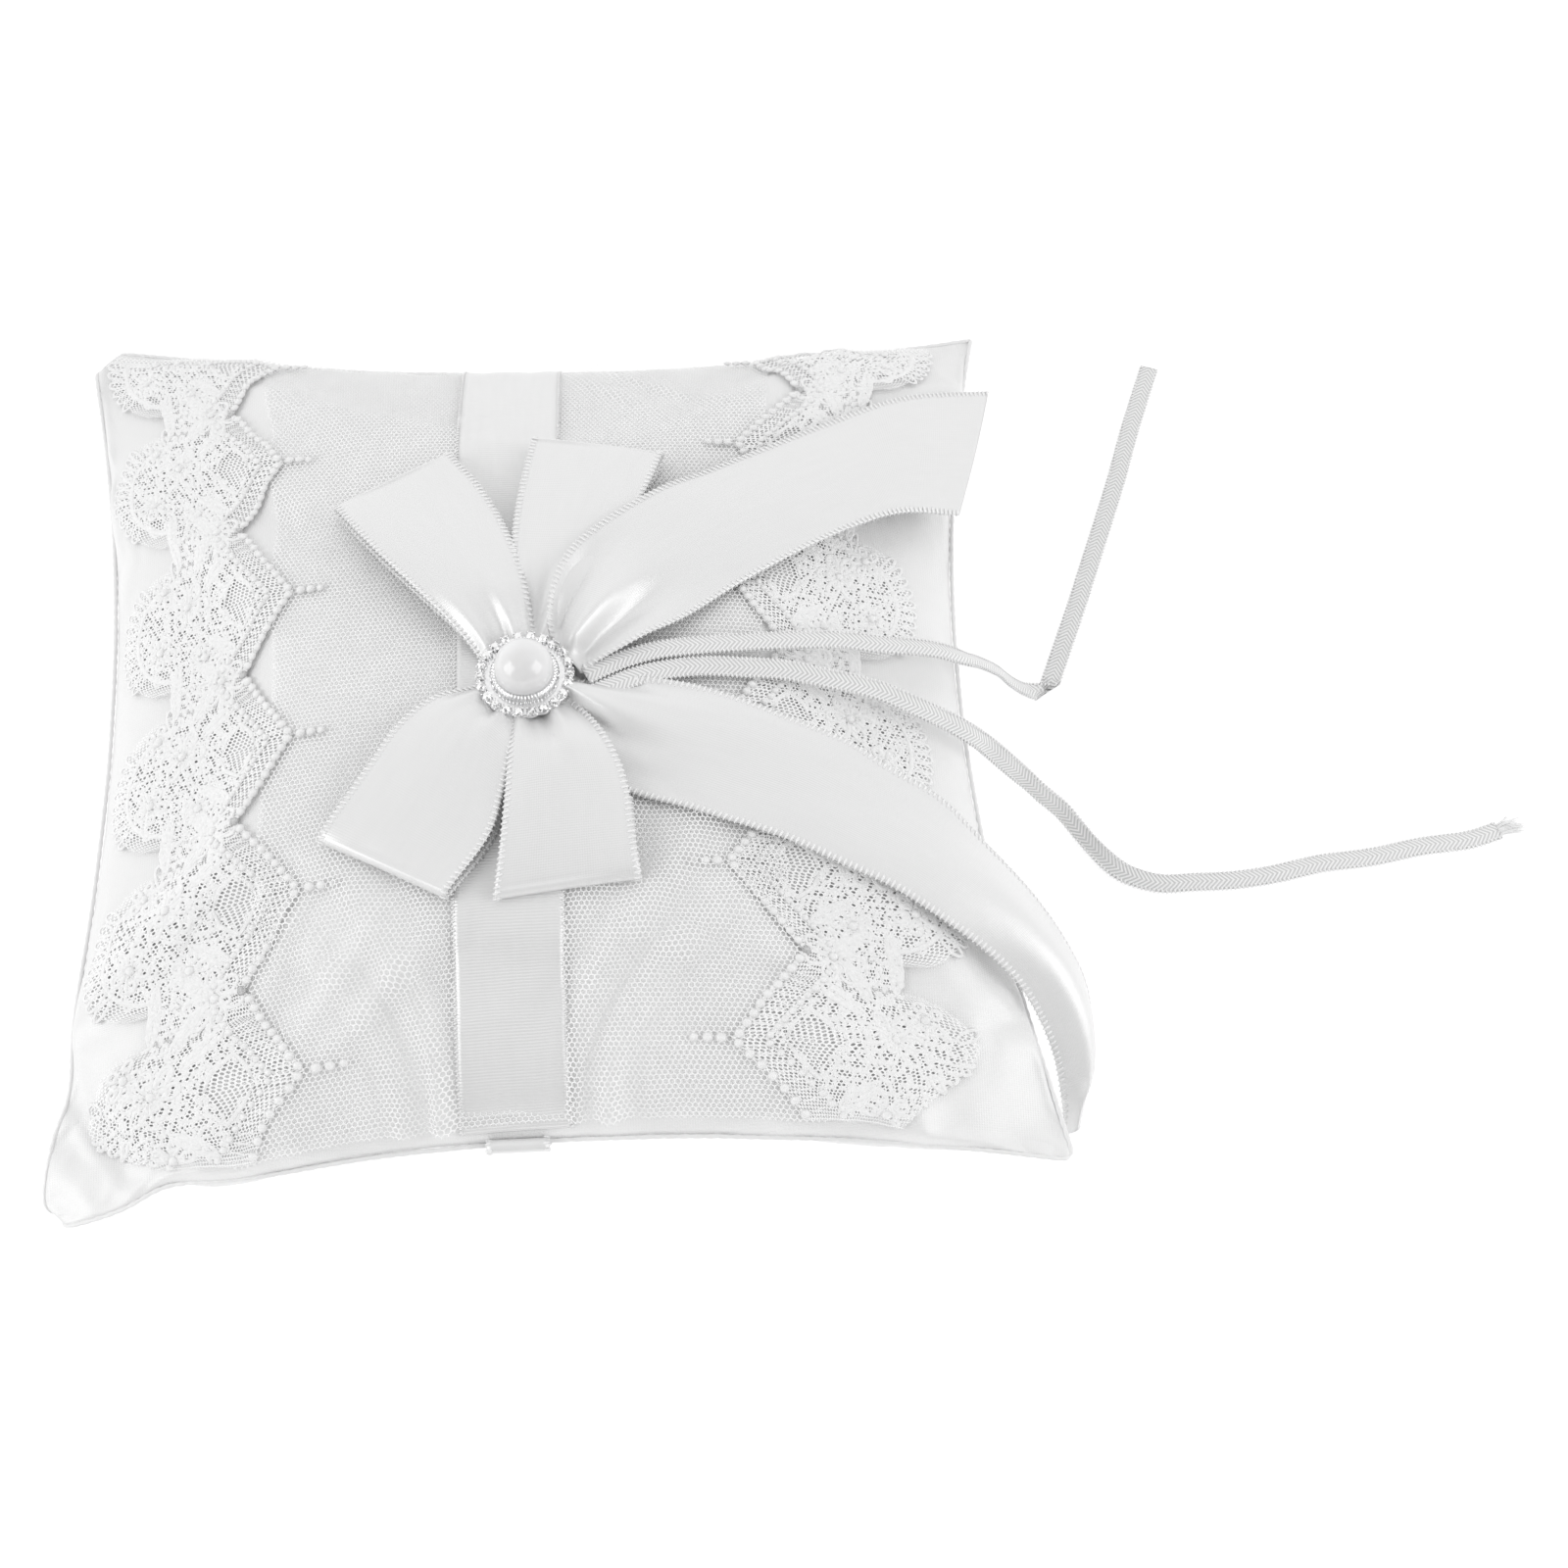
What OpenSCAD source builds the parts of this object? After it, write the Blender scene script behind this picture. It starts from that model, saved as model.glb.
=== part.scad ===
// Ring bearer pillow: a square satin pillow with a tulle overlay, two lace trims, a centre band,
// a ribbon bow under a pearl brooch, and two thin ribbons that hold the rings.
// Millimetres. +X right, +Y towards the top edge, +Z up. Origin on the resting face, under the centre.

/* [Pillow] */
// Distance from the centre to a corner's side line
pillow_half = 102; // [95:1:110]
// How far the left and far sides pull in at their middles
edge_dip = 11; // [6:0.5:14]
// How far the near side pulls in at its middle
near_dip = 6.5; // [4:0.5:14]
// How far the right side pulls in at its middle
right_dip = 14; // [6:0.5:15]
// Height of the edge seam at the middle of a side
seam_height = 18; // [15:0.5:20]
// Height of the front panel's crown above the edge seam
front_rise = 26; // [22:0.5:30]
// Depth of the back panel's crown below the edge seam, before it flattens on the table
back_depth = 25; // [22:0.5:30]
// Thickness of the satin panels with their lining
cover_t = 0.8; // [0.6:0.1:1]
// Radius of the rolled edge seam
seam_r = 0.9; // [0.7:0.1:1]

/* [Trims] */
// Width of the centre band
band_w = 22; // [18:1:25]
// Number of lace repeats along one side
lace_repeats = 5.5; // [4.5:1:6.5]
// Depth of the points on the inner edge of the lace
lace_point = 13; // [8:1:15]
// Width of the hand strap on the back
strap_w = 12; // [8:1:12]

/* [Bow] */
// Full width of the bow ribbon
bow_ribbon_w = 29; // [25:1:30]
// Thickness of the bow ribbon
bow_ribbon_t = 0.4; // [0.3:0.1:0.5]
// Radius of the gathered knot
knot_r = 11; // [10:0.5:11]
// Height of the gathered knot
knot_h = 3.8; // [3:0.1:4]

/* [Brooch] */
// Diameter of the brooch over its back plate
brooch_d = 19.6; // [18:0.2:20]
// Diameter of the pearl
pearl_d = 11.8; // [11:0.2:13]
// Number of round stones in the ring
stone_count = 22; // [18:1:22]
// Diameter of one stone
stone_d = 2.3; // [2:0.1:2.4]

/* [Ring ties] */
// Width of a tie ribbon
tie_w = 4; // [3:0.1:4.5]
// Thickness of a tie ribbon
tie_t = 0.8; // [0.6:0.1:1]

/* [Hidden] */
$fn = 48;

// Corner heights of the seam: the near left corner droops to the table as a flat ear
seam_top_left = 14;
seam_top_right = 14;
seam_near_left = 4;
seam_near_right = 10;

// How far each corner stands off the even outline, as [u side, v side, x, y]
corner_moves = [[-1, 1, -2, 6], [1, 1, -3.5, -3], [-1, -1, -1.5, -4], [1, -1, 0.5, -0.5]];

// Clearances between layers
gap = 0.2;
rim_inset = seam_r + gap;
rim_split = 0.15;

// Layers over the front panel, as distances outside it
tulle_level = 0.3;
tulle_t = 0.3;
band_level = 0.9;
band_t = 0.4;
lace_level = 1.2;
lace_t = 0.8;

// Places across the front, as shares of the half width
tulle_left = -0.60;
tulle_right = 0.52;
lace_left_outer = -0.96;
lace_left_valley = -0.61;
lace_right_outer = 0.90;
lace_right_valley = 0.49;
sheet_end = 0.99;

strap_x = -2;
strap_t = 0.4;
strap_channel = 0.8;
strap_channel_half = strap_w / 2 + 1.8;

brooch_at = [-2, -10];
knot_z = 45.7;
plate_z = knot_z + knot_h + 0.7;
plate_t = 1;
stone_ring_r = brooch_d / 2 - stone_d / 2 + 0.3;
bezel_r = pearl_d / 2 + 1;
shank_r = 1.4;
shank_bore_r = 1.8;

// Bow loops: [direction in degrees, length from the brooch to the fold]
loop_upper_left = [117, 58];
loop_upper = [76, 58];
loop_lower_left = [234, 48];
loop_lower = [279, 46];

// Tails, as two edges from the knot to the cut end
tail_upper_left_edge = [
    [11, -1, 47.6], [13.5, 11, 47.8], [20, 22, 47.4], [27, 34, 45.8], [43, 47, 43], [62, 59, 38.4], [80, 70, 32],
    [100, 78, 22]];
tail_upper_right_edge = [
    [12, -5, 47.4], [22, -2, 47.8], [30, 4, 47.6], [41, 13, 46], [54, 22, 43.8], [65, 29, 41], [77, 36, 36],
    [90, 40.5, 28]];
tail_lower_left_edge = [
    [12, -12, 47.4], [23, -10, 47.4], [33, -12, 47], [42, -15, 46], [52, -19, 44.4], [62, -23, 42],
    [70, -28, 39.4], [80, -33, 35], [88, -40, 29.6], [98, -50, 23.4], [105, -60, 17.8], [108, -68, 13],
    [107.6, -79, 6], [104.5, -92, 1.8]];
tail_lower_right_edge = [
    [11, -14, 47.4], [17, -24, 46.8], [20, -32, 46], [27, -37, 45.2], [36, -40.5, 44], [48, -44.5, 42],
    [60, -50, 39.4], [69, -54, 37], [79, -60, 33], [88, -65.5, 28], [94.6, -71, 22], [100.6, -79, 14],
    [103, -87, 5], [102.6, -94, 1.8]];

// Routes of the two tie ribbons, from the knot to the free ends
tie_upper_route = [
    [10, -10, 50], [14, -8, 50], [18, -6, 49.6], [24, -4, 49], [30, -3, 48.4], [38, -2, 47.4], [46, -1, 46],
    [54, 0, 44.2], [62, 1, 42], [70, 1, 39.6], [77, 2, 36.6], [83, 3, 33], [88, 4, 28.4], [92, 6, 23],
    [96, 8, 16.6], [99, 9, 11], [102, 10, 6], [105, 11, 2.4], [108, 12, 1], [110, 14, 1], [112, 18, 1],
    [114, 24, 1], [117, 33, 1], [120, 41, 1], [123, 49, 1], [126, 57, 1], [130, 68, 1], [134, 80, 1],
    [138, 91, 1], [141, 99, 1]];
tie_lower_route = [
    [10, -15, 50], [14, -13, 49.8], [20, -10, 49], [27, -8, 48], [34, -7, 47], [42, -7, 45.8], [50, -7, 44.2],
    [57, -8, 42.6], [64, -9, 40.8], [70, -10, 38.8], [76, -12, 36.4], [82, -13, 32.4], [88, -14, 27.4],
    [92, -14, 22], [96, -15, 17], [100, -16, 12], [104, -18, 8], [108, -20, 4.6], [111, -23, 2.4],
    [114, -27, 1], [118, -32, 1], [122, -35, 1], [128, -37, 1], [135, -37, 1], [143, -37, 1],
    [152, -36, 1], [162, -34, 1], [173, -33, 1], [184, -31, 1], [194, -30, 1], [201, -28, 1]];

satin = [0.93, 0.93, 0.93];
white_net = [0.90, 0.90, 0.92];
silver = [0.78, 0.78, 0.80];

// ---- Pillow surface ------------------------------------------------------------------------------

// Plan of the pillow: u and v run from -1 to 1, and grow widens the outline
function half_width(u, v) = pillow_half - (u > 0 ? right_dip : edge_dip) * (1 - v * v);
function half_height(u, v) = pillow_half - (v < 0 ? near_dip : edge_dip) * (1 - u * u);
function corner_shift(u, v, i = 0) = i == len(corner_moves) ? [0, 0] :
    let (m = corner_moves[i])
    pow((1 + m[0] * u) / 2 * (1 + m[1] * v) / 2, 3) * [m[2], m[3]] + corner_shift(u, v, i + 1);
function plan(u, v, grow = 0) =
    [u * (half_width(u, v) + grow), v * (half_height(u, v) + grow)] + corner_shift(u, v);

function crown(u, v) = sqrt(max(0, (1 - u * u) * (1 - v * v)));

// Height of the seam's surface over a place in plan, blended from the sides to the four corners
function seam_z(p) =
    let (a = p[0] / pillow_half, b = p[1] / pillow_half,
         corner = (1 - a) / 2 * (1 + b) / 2 * seam_top_left + (1 + a) / 2 * (1 + b) / 2 * seam_top_right
             + (1 - a) / 2 * (1 - b) / 2 * seam_near_left + (1 + a) / 2 * (1 - b) / 2 * seam_near_right)
    seam_height + (corner - seam_height) * pow(a * b, 2);

function front_point(u, v, grow) =
    let (p = plan(u, v, grow))
    concat(p, seam_z(p) + rim_split + (front_rise + grow) * crown(u, v));

// The back flattens on the table, and a shallow channel holds the hand strap
function in_channel(x) = abs(x - strap_x) < strap_channel_half;
function table_level(x) = in_channel(x) ? strap_channel : 0;
function back_point(u, v, grow, lift) =
    let (p = plan(u, v, grow))
    concat(p, max(table_level(p[0]) + lift, seam_z(p) - rim_split - (back_depth + grow) * crown(u, v)));

// Height over the table of a point that lies a distance above the front panel
function over_front(x, y, above) =
    let (u = x / half_width(x, y / pillow_half), v = y / half_height(x / pillow_half, y))
    seam_z([x, y]) + (front_rise + above) * crown(u, v);

// ---- Builders ------------------------------------------------------------------------------------

// Even steps from a to b, and steps that crowd towards -1 and 1
function steps(a, b, n) = [for (i = [0:n]) a + (b - a) * i / n];
function edge_steps(n, reach = 1) = [for (i = [0:n]) reach * sin(-90 + 180 * i / n)];

// A closed solid between two grids of points that have the same number of rows and columns
module between(low, high) {
    rows = len(low);
    cols = len(low[0]);
    total = rows * cols;
    function at(r, c) = r * cols + c;
    quads = [for (r = [0:rows - 2]) for (c = [0:cols - 2])
        [at(r, c), at(r, c + 1), at(r + 1, c + 1), at(r + 1, c)]];
    rim = concat(
        [for (c = [0:cols - 1]) at(0, c)], [for (r = [1:rows - 1]) at(r, cols - 1)],
        [for (c = [cols - 2:-1:0]) at(rows - 1, c)], [for (r = [rows - 2:-1:1]) at(r, 0)]);
    faces = concat(
        [for (i = [0:len(rim) - 1]) let (a = rim[i], b = rim[(i + 1) % len(rim)])
            each [[b, a, a + total], [b, a + total, b + total]]],
        [for (q = quads) each [[q[2] + total, q[1] + total, q[0] + total],
                               [q[3] + total, q[2] + total, q[0] + total]]],
        [for (q = quads) each [[q[0], q[1], q[2]], [q[0], q[2], q[3]]]]);
    polyhedron([for (grid = [low, high]) for (row = grid) each row], faces, convexity = 8);
}

// A thin sheet that lies on the front panel: side edges are functions of v
module front_sheet(left_edge, right_edge, cols, v_list, level, thick) {
    function grid(grow) = [for (v = v_list) [for (i = [0:cols])
        front_point(left_edge(v) + (right_edge(v) - left_edge(v)) * i / cols, v, grow)]];
    between(grid(level), grid(level + thick));
}

function unit(v) = v / norm(v);
function route_tangent(p, i) = unit(p[min(i + 1, len(p) - 1)] - p[max(i - 1, 0)]);

// A swept solid: rings of points joined one to the next, with flat ends
module sweep(rings, closed = false) {
    sides = len(rings[0]);
    count = len(rings);
    last = closed ? count - 1 : count - 2;
    skin = [for (i = [0:last]) for (k = [0:sides - 1])
        let (a = i * sides + k, b = i * sides + (k + 1) % sides,
             j = (i + 1) % count, c = j * sides + (k + 1) % sides, d = j * sides + k)
        each [[a, c, b], [a, d, c]]];
    ends = closed ? [] : [
        [for (k = [0:sides - 1]) k],
        [for (k = [sides - 1:-1:0]) (count - 1) * sides + k]];
    polyhedron([for (ring = rings) each ring], concat(skin, ends), convexity = 8);
}

// A flat ribbon between two edges, with its thickness along the surface normal
module ribbon(left, right, thick) {
    middle = (left + right) / 2;
    sweep([for (i = [0:len(left) - 1])
        let (n = unit(cross(right[i] - left[i], route_tangent(middle, i))) * thick / 2)
        [left[i] + n, left[i] - n, right[i] - n, right[i] + n]]);
}

// A flattened tube along a route, wide across the route and thin in height
module flat_tube(route, width, thick) {
    sides = 8;
    sweep([for (i = [0:len(route) - 1])
        let (t = route_tangent(route, i), side = unit(cross(t, [0, 0, 1])), up = cross(side, t))
        [for (k = [0:sides - 1]) let (a = 22.5 + 360 * k / sides)
            route[i] + side * cos(a) * width / 2 + up * sin(a) * thick / 2]]);
}

// ---- Pillow --------------------------------------------------------------------------------------

module front_cover() {
    grid = edge_steps(18);
    function shell(grow) = [for (v = grid) [for (u = grid) front_point(u, v, grow)]];
    color(satin) between(shell(-rim_inset - cover_t), shell(-rim_inset));
}

module back_cover() {
    rows = edge_steps(18);
    edge = strap_channel_half / pillow_half;
    middle = strap_x / pillow_half;
    foot = edge * 0.9;
    brow = edge * 1.2;
    beside = edge * 1.5;
    cols = concat(
        [for (u = edge_steps(18)) if (u < middle - beside) u],
        [middle - brow, middle - foot, middle, middle + foot, middle + brow],
        [for (u = edge_steps(18)) if (u > middle + beside) u]);
    function shell(grow, lift) = [for (v = rows) [for (u = cols) back_point(u, v, grow, lift)]];
    color(satin) between(shell(-rim_inset, 0), shell(-rim_inset - cover_t, cover_t));
}

module fibre_filling() {
    inset = rim_inset + cover_t + 3 * gap;
    floor_z = strap_channel + cover_t + gap;
    grid = edge_steps(14, 0.97);
    top = [for (v = grid) [for (u = grid) front_point(u, v, -inset)]];
    bottom = [for (v = grid) [for (u = grid)
        let (p = plan(u, v, -inset))
        concat(p, max(floor_z, seam_z(p) - rim_split - (back_depth - inset) * crown(u, v)))]];
    color("white") between(bottom, top);
}

module edge_seam() {
    per_side = 16;
    sides = 6;
    ramp = [for (i = [0:per_side - 1]) -1 + 2 * i / per_side];
    around = concat(
        [for (t = ramp) [t, -1]], [for (t = ramp) [1, t]],
        [for (t = ramp) [-t, 1]], [for (t = ramp) [-1, -t]]);
    count = len(around);
    line = [for (q = around) let (p = plan(q[0], q[1])) concat(p, seam_z(p))];
    rings = [for (i = [0:count - 1])
        let (t = unit(line[(i + 1) % count] - line[(i + count - 1) % count]),
             side = unit(cross(t, [0, 0, 1])), up = cross(side, t))
        [for (k = [0:sides - 1]) let (a = 30 + 360 * k / sides)
            line[i] + side * cos(a) * seam_r + up * sin(a) * seam_r]];
    color(satin) sweep(rings, closed = true);
}

// Sewn into both seams at the middle, and flat on the back between them
module hand_strap() {
    side_gap = 0.6;
    function strap_line(v) = [
        v * (half_height(0, v) + side_gap),
        max(strap_t / 2, seam_height - (back_depth + side_gap) * sqrt(max(0, 1 - v * v)))];
    line = [for (v = edge_steps(26, 0.995)) strap_line(v)];
    left = [for (p = line) [strap_x - strap_w / 2, p[0], p[1]]];
    right = [for (p = line) [strap_x + strap_w / 2, p[0], p[1]]];
    color(satin) ribbon(left, right, strap_t);
}

// ---- Trims ---------------------------------------------------------------------------------------

module tulle_overlay() {
    color(white_net)
        front_sheet(function(v) tulle_left, function(v) tulle_right, 12, edge_steps(18, sheet_end),
                    tulle_level, tulle_t);
}

// Distance of the pointed inner edge from its valleys, 0 to 1, along the pillow
function lace_wave(v) = 1 - abs(1 - 2 * ((v + 1) / 2 * lace_repeats - floor((v + 1) / 2 * lace_repeats)));
lace_rows = edge_steps(30, 0.985);

module lace_trim_left() {
    point = lace_point / pillow_half;
    color(satin)
        front_sheet(function(v) lace_left_outer, function(v) lace_left_valley + point * lace_wave(v),
                    6, lace_rows, lace_level, lace_t);
}

module lace_trim_right() {
    point = lace_point / pillow_half;
    color(satin)
        front_sheet(function(v) lace_right_valley - point * lace_wave(v), function(v) lace_right_outer,
                    6, lace_rows, lace_level, lace_t);
}

module centre_band() {
    middle = -0.06;
    half = band_w / 2 / pillow_half * 1.06;
    color(satin)
        front_sheet(function(v) middle - half, function(v) middle + half, 2, edge_steps(24, sheet_end),
                    band_level, band_t);
}

// ---- Bow -----------------------------------------------------------------------------------------

// One loop: out along the pillow, round a fold, and back above itself to the knot
module bow_loop(loop) {
    dir = [cos(loop[0]), sin(loop[0])];
    across = [-sin(loop[0]), cos(loop[0])];
    inner = knot_r + 0.6;
    fold_h = 4;
    count = 9;
    function low_z(r) = let (p = brooch_at + dir * r) over_front(p[0], p[1], 1.9);
    function puff(r) = let (t = (r - inner) / (loop[1] - inner)) fold_h * (0.7 + 0.3 * t) + 6 * t * (1 - t);
    out = [for (r = steps(inner, loop[1], count)) [r, low_z(r)]];
    fold = [for (a = [-60:30:60]) [loop[1] + fold_h / 2 * cos(a), low_z(loop[1]) + fold_h / 2 * (1 + sin(a))]];
    in = [for (r = steps(loop[1], inner, count)) [r, low_z(r) + puff(r)]];
    line = concat(out, fold, in);
    function width(r) = min(bow_ribbon_w, 0.6 * r);
    function edge(side) = [for (q = line)
        let (p = brooch_at + dir * q[0] + across * side * width(q[0]) / 2) [p[0], p[1], q[1]]];
    color(satin) ribbon(edge(1), edge(-1), bow_ribbon_t);
}

module bow_loop_upper_left() { bow_loop(loop_upper_left); }
module bow_loop_upper() { bow_loop(loop_upper); }
module bow_loop_lower_left() { bow_loop(loop_lower_left); }
module bow_loop_lower() { bow_loop(loop_lower); }

module bow_tail_upper() {
    color(satin) ribbon(tail_upper_left_edge, tail_upper_right_edge, bow_ribbon_t);
}

module bow_tail_lower() {
    color(satin) ribbon(tail_lower_left_edge, tail_lower_right_edge, bow_ribbon_t);
}

// The gathered middle of the bow, with the hole that the brooch shank passes into
module bow_knot() {
    round_r = 1.6;
    color(satin) translate([brooch_at[0], brooch_at[1], knot_z]) rotate_extrude()
        difference() {
            union() {
                square([knot_r - round_r, knot_h]);
                translate([0, round_r]) square([knot_r, knot_h - 2 * round_r]);
                translate([knot_r - round_r, round_r]) circle(round_r);
                translate([knot_r - round_r, knot_h - round_r]) circle(round_r);
            }
            translate([0, -1]) square([shank_bore_r, knot_h + 2]);
        }
}

// ---- Brooch --------------------------------------------------------------------------------------

module at_brooch(z) {
    translate([brooch_at[0], brooch_at[1], z]) children();
}

// Thread wound under the plate, as under a sewn button
module anchor_thread() {
    thread_r = 0.25;
    color("white") at_brooch(knot_z + knot_h + thread_r + 0.05)
        rotate_extrude() translate([2.6, 0]) circle(thread_r);
}

module brooch_shank() {
    color(silver) at_brooch(plate_z - 3) cylinder(r = shank_r, h = 3);
}

module brooch_base() {
    color(silver) at_brooch(plate_z) cylinder(d = brooch_d, h = plate_t);
}

module brooch_bezel() {
    height = 1.3;
    wall = 0.7;
    color(silver) at_brooch(plate_z + plate_t) difference() {
        cylinder(r = bezel_r, h = height);
        translate([0, 0, -1]) cylinder(r = bezel_r - wall, h = height + 2);
    }
}

module rhinestones() {
    girdle_h = 0.7;
    crown_h = 0.7;
    table_r = stone_d / 4;
    color("white") at_brooch(plate_z + plate_t)
        for (i = [0:stone_count - 1]) rotate(360 * i / stone_count) translate([stone_ring_r, 0, 0])
            rotate_extrude() polygon([
                [0, 0], [stone_d / 2, 0], [stone_d / 2, girdle_h], [table_r, girdle_h + crown_h],
                [0, girdle_h + crown_h]]);
}

module pearl() {
    centre_h = pearl_d * 0.26;
    color("white") at_brooch(plate_z + plate_t) rotate_extrude() intersection() {
        translate([0, centre_h]) circle(d = pearl_d);
        square(pearl_d);
    }
}

// ---- Ring ties -----------------------------------------------------------------------------------

module tie_ribbon_upper() {
    color(satin) flat_tube(tie_upper_route, tie_w, tie_t);
}

module tie_ribbon_lower() {
    color(satin) flat_tube(tie_lower_route, tie_w, tie_t);
}

// Frayed threads at the free end of the lower ribbon
module tie_end_tuft() {
    last = len(tie_lower_route) - 1;
    end = tie_lower_route[last];
    heading = route_tangent(tie_lower_route, last);
    length = 6;
    start = end + heading * gap;
    spread = 1.3;
    color(satin) flat_tube(
        [start, start + heading * length * 0.4, start + heading * length], tie_w * spread, tie_t);
}

front_cover();
back_cover();
fibre_filling();
edge_seam();
hand_strap();
tulle_overlay();
lace_trim_left();
lace_trim_right();
centre_band();
bow_loop_upper_left();
bow_loop_upper();
bow_loop_lower_left();
bow_loop_lower();
bow_tail_upper();
bow_tail_lower();
bow_knot();
anchor_thread();
brooch_shank();
brooch_base();
brooch_bezel();
rhinestones();
pearl();
tie_ribbon_upper();
tie_ribbon_lower();
tie_end_tuft();
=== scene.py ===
import math

import bpy
import numpy as np
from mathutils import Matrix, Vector


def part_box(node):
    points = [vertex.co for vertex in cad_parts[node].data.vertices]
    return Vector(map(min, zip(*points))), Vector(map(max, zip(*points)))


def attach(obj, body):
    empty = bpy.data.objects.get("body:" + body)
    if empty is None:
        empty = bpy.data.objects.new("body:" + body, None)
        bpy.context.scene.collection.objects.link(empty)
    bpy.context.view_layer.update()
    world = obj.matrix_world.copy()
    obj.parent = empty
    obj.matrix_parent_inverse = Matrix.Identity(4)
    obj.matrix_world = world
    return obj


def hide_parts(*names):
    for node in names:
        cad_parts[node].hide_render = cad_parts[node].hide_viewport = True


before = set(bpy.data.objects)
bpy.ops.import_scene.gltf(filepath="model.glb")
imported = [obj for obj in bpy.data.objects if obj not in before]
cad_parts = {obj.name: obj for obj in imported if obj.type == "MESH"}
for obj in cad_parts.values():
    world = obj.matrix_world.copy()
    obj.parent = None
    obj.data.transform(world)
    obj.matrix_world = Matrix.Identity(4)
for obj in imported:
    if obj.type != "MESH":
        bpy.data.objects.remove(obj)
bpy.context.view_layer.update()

MM = 0.001

# ---- Driving sizes, in metres, as in the CAD part (whose bow ribbon is 29 mm wide) ---------------

PILLOW_HALF = 102 * MM
EDGE_DIP = 11 * MM
NEAR_DIP = 6.5 * MM
RIGHT_DIP = 14 * MM
CORNER_SHIFTS = {(-1, 1): (-2, 6), (1, 1): (-3.5, -3), (-1, -1): (-1.5, -4), (1, -1): (0.5, -0.5)}
SEAM_HEIGHT = 18 * MM
FRONT_RISE = 26 * MM
BACK_DEPTH = 25 * MM
SEAM_CORNERS = {(-1, 1): 14 * MM, (1, 1): 14 * MM, (-1, -1): 4 * MM, (1, -1): 10 * MM}
SEAM_RADIUS = 0.5 * MM
TIE_WIDTH = 4 * MM
TIE_THICKNESS = 0.45 * MM
STRAP_WIDTH = 12 * MM

BASE_LOW, BASE_HIGH = (np.array(corner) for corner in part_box("brooch_base"))
BROOCH = (BASE_LOW + BASE_HIGH) / 2
PLATE_RADIUS = (BASE_HIGH[0] - BASE_LOW[0]) / 2
PLATE_LOW, PLATE_TOP = BASE_LOW[2], BASE_HIGH[2]
KNOT_HIGH = np.array(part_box("bow_knot")[1])
BEZEL_LOW, BEZEL_HIGH = (np.array(corner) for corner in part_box("brooch_bezel"))
PEARL_LOW, PEARL_HIGH = (np.array(corner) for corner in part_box("pearl"))

# Routes of the ring ties, from the knot to the free ends, in millimetres as in the CAD part
TIE_UPPER_ROUTE = [
    (10, -10, 50), (14, -8, 50), (18, -6, 49.6), (24, -4, 49), (30, -3, 48.4), (38, -2, 47.4), (46, -1, 46),
    (54, 0, 44.2), (62, 1, 42), (70, 1, 39.6), (77, 2, 36.6), (83, 3, 33), (88, 4, 28.4), (92, 6, 23),
    (96, 8, 16.6), (99, 9, 11), (102, 10, 6), (105, 11, 2.4), (108, 12, 1), (110, 14, 1), (112, 18, 1),
    (114, 24, 1), (117, 33, 1), (120, 41, 1), (123, 49, 1), (126, 57, 1), (130, 68, 1), (134, 80, 1),
    (138, 91, 1), (141, 99, 1)]
TIE_LOWER_ROUTE = [
    (10, -15, 50), (14, -13, 49.8), (20, -10, 49), (27, -8, 48), (34, -7, 47), (42, -7, 45.8), (50, -7, 44.2),
    (57, -8, 42.6), (64, -9, 40.8), (70, -10, 38.8), (76, -12, 36.4), (82, -13, 32.4), (88, -14, 27.4),
    (92, -14, 22), (96, -15, 17), (100, -16, 12), (104, -18, 8), (108, -20, 4.6), (111, -23, 2.4),
    (114, -27, 1), (118, -32, 1), (122, -35, 1), (128, -37, 1), (135, -37, 1), (143, -37, 1),
    (152, -36, 1), (162, -34, 1), (173, -33, 1), (184, -31, 1), (194, -30, 1), (201, -28, 1)]

# Edges of the two bow tails, from the knot to the cut ends, in millimetres
TAIL_UPPER = (
    [(3, 0, 49.2), (3.5, 9, 51.4), (6, 16.5, 51.8), (10, 22.5, 51.4), (18, 30, 50.4), (27, 37, 48.6), (35, 42, 46),
     (43, 47, 43.8), (62, 59, 38.4), (80, 70, 32), (100, 78, 22)],
    [(9, -9, 49), (21, -2, 49.6), (30, 4, 48), (41, 13, 46), (54, 22, 43.8), (65, 29, 41), (77, 36, 36),
     (90, 40.5, 28)])
TAIL_LOWER = (
    [(8, -10, 49), (16, -10.5, 49.6), (23, -10.5, 49.4), (33, -12, 47.6), (42, -15, 46.2), (52, -19, 44.4),
     (62, -23, 42), (70, -28, 39.4), (80, -33, 35), (88, -40, 29.6), (98, -50, 23.4), (105, -60, 17.8),
     (108, -68, 13), (107.6, -79, 6), (104.5, -92, 1.8)],
    [(3, -15, 48), (5.5, -22, 47), (9.5, -29, 46.2), (14.5, -33.5, 45.8), (20.5, -36, 45.4), (28, -38, 45),
     (37, -41, 44), (48, -44.5, 42), (60, -50, 39.4), (69, -54, 37), (79, -60, 33), (88, -65.5, 27.6),
     (94.6, -71, 21), (99.5, -79, 13), (101.5, -87, 5), (101.5, -93, 1.8)])

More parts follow.
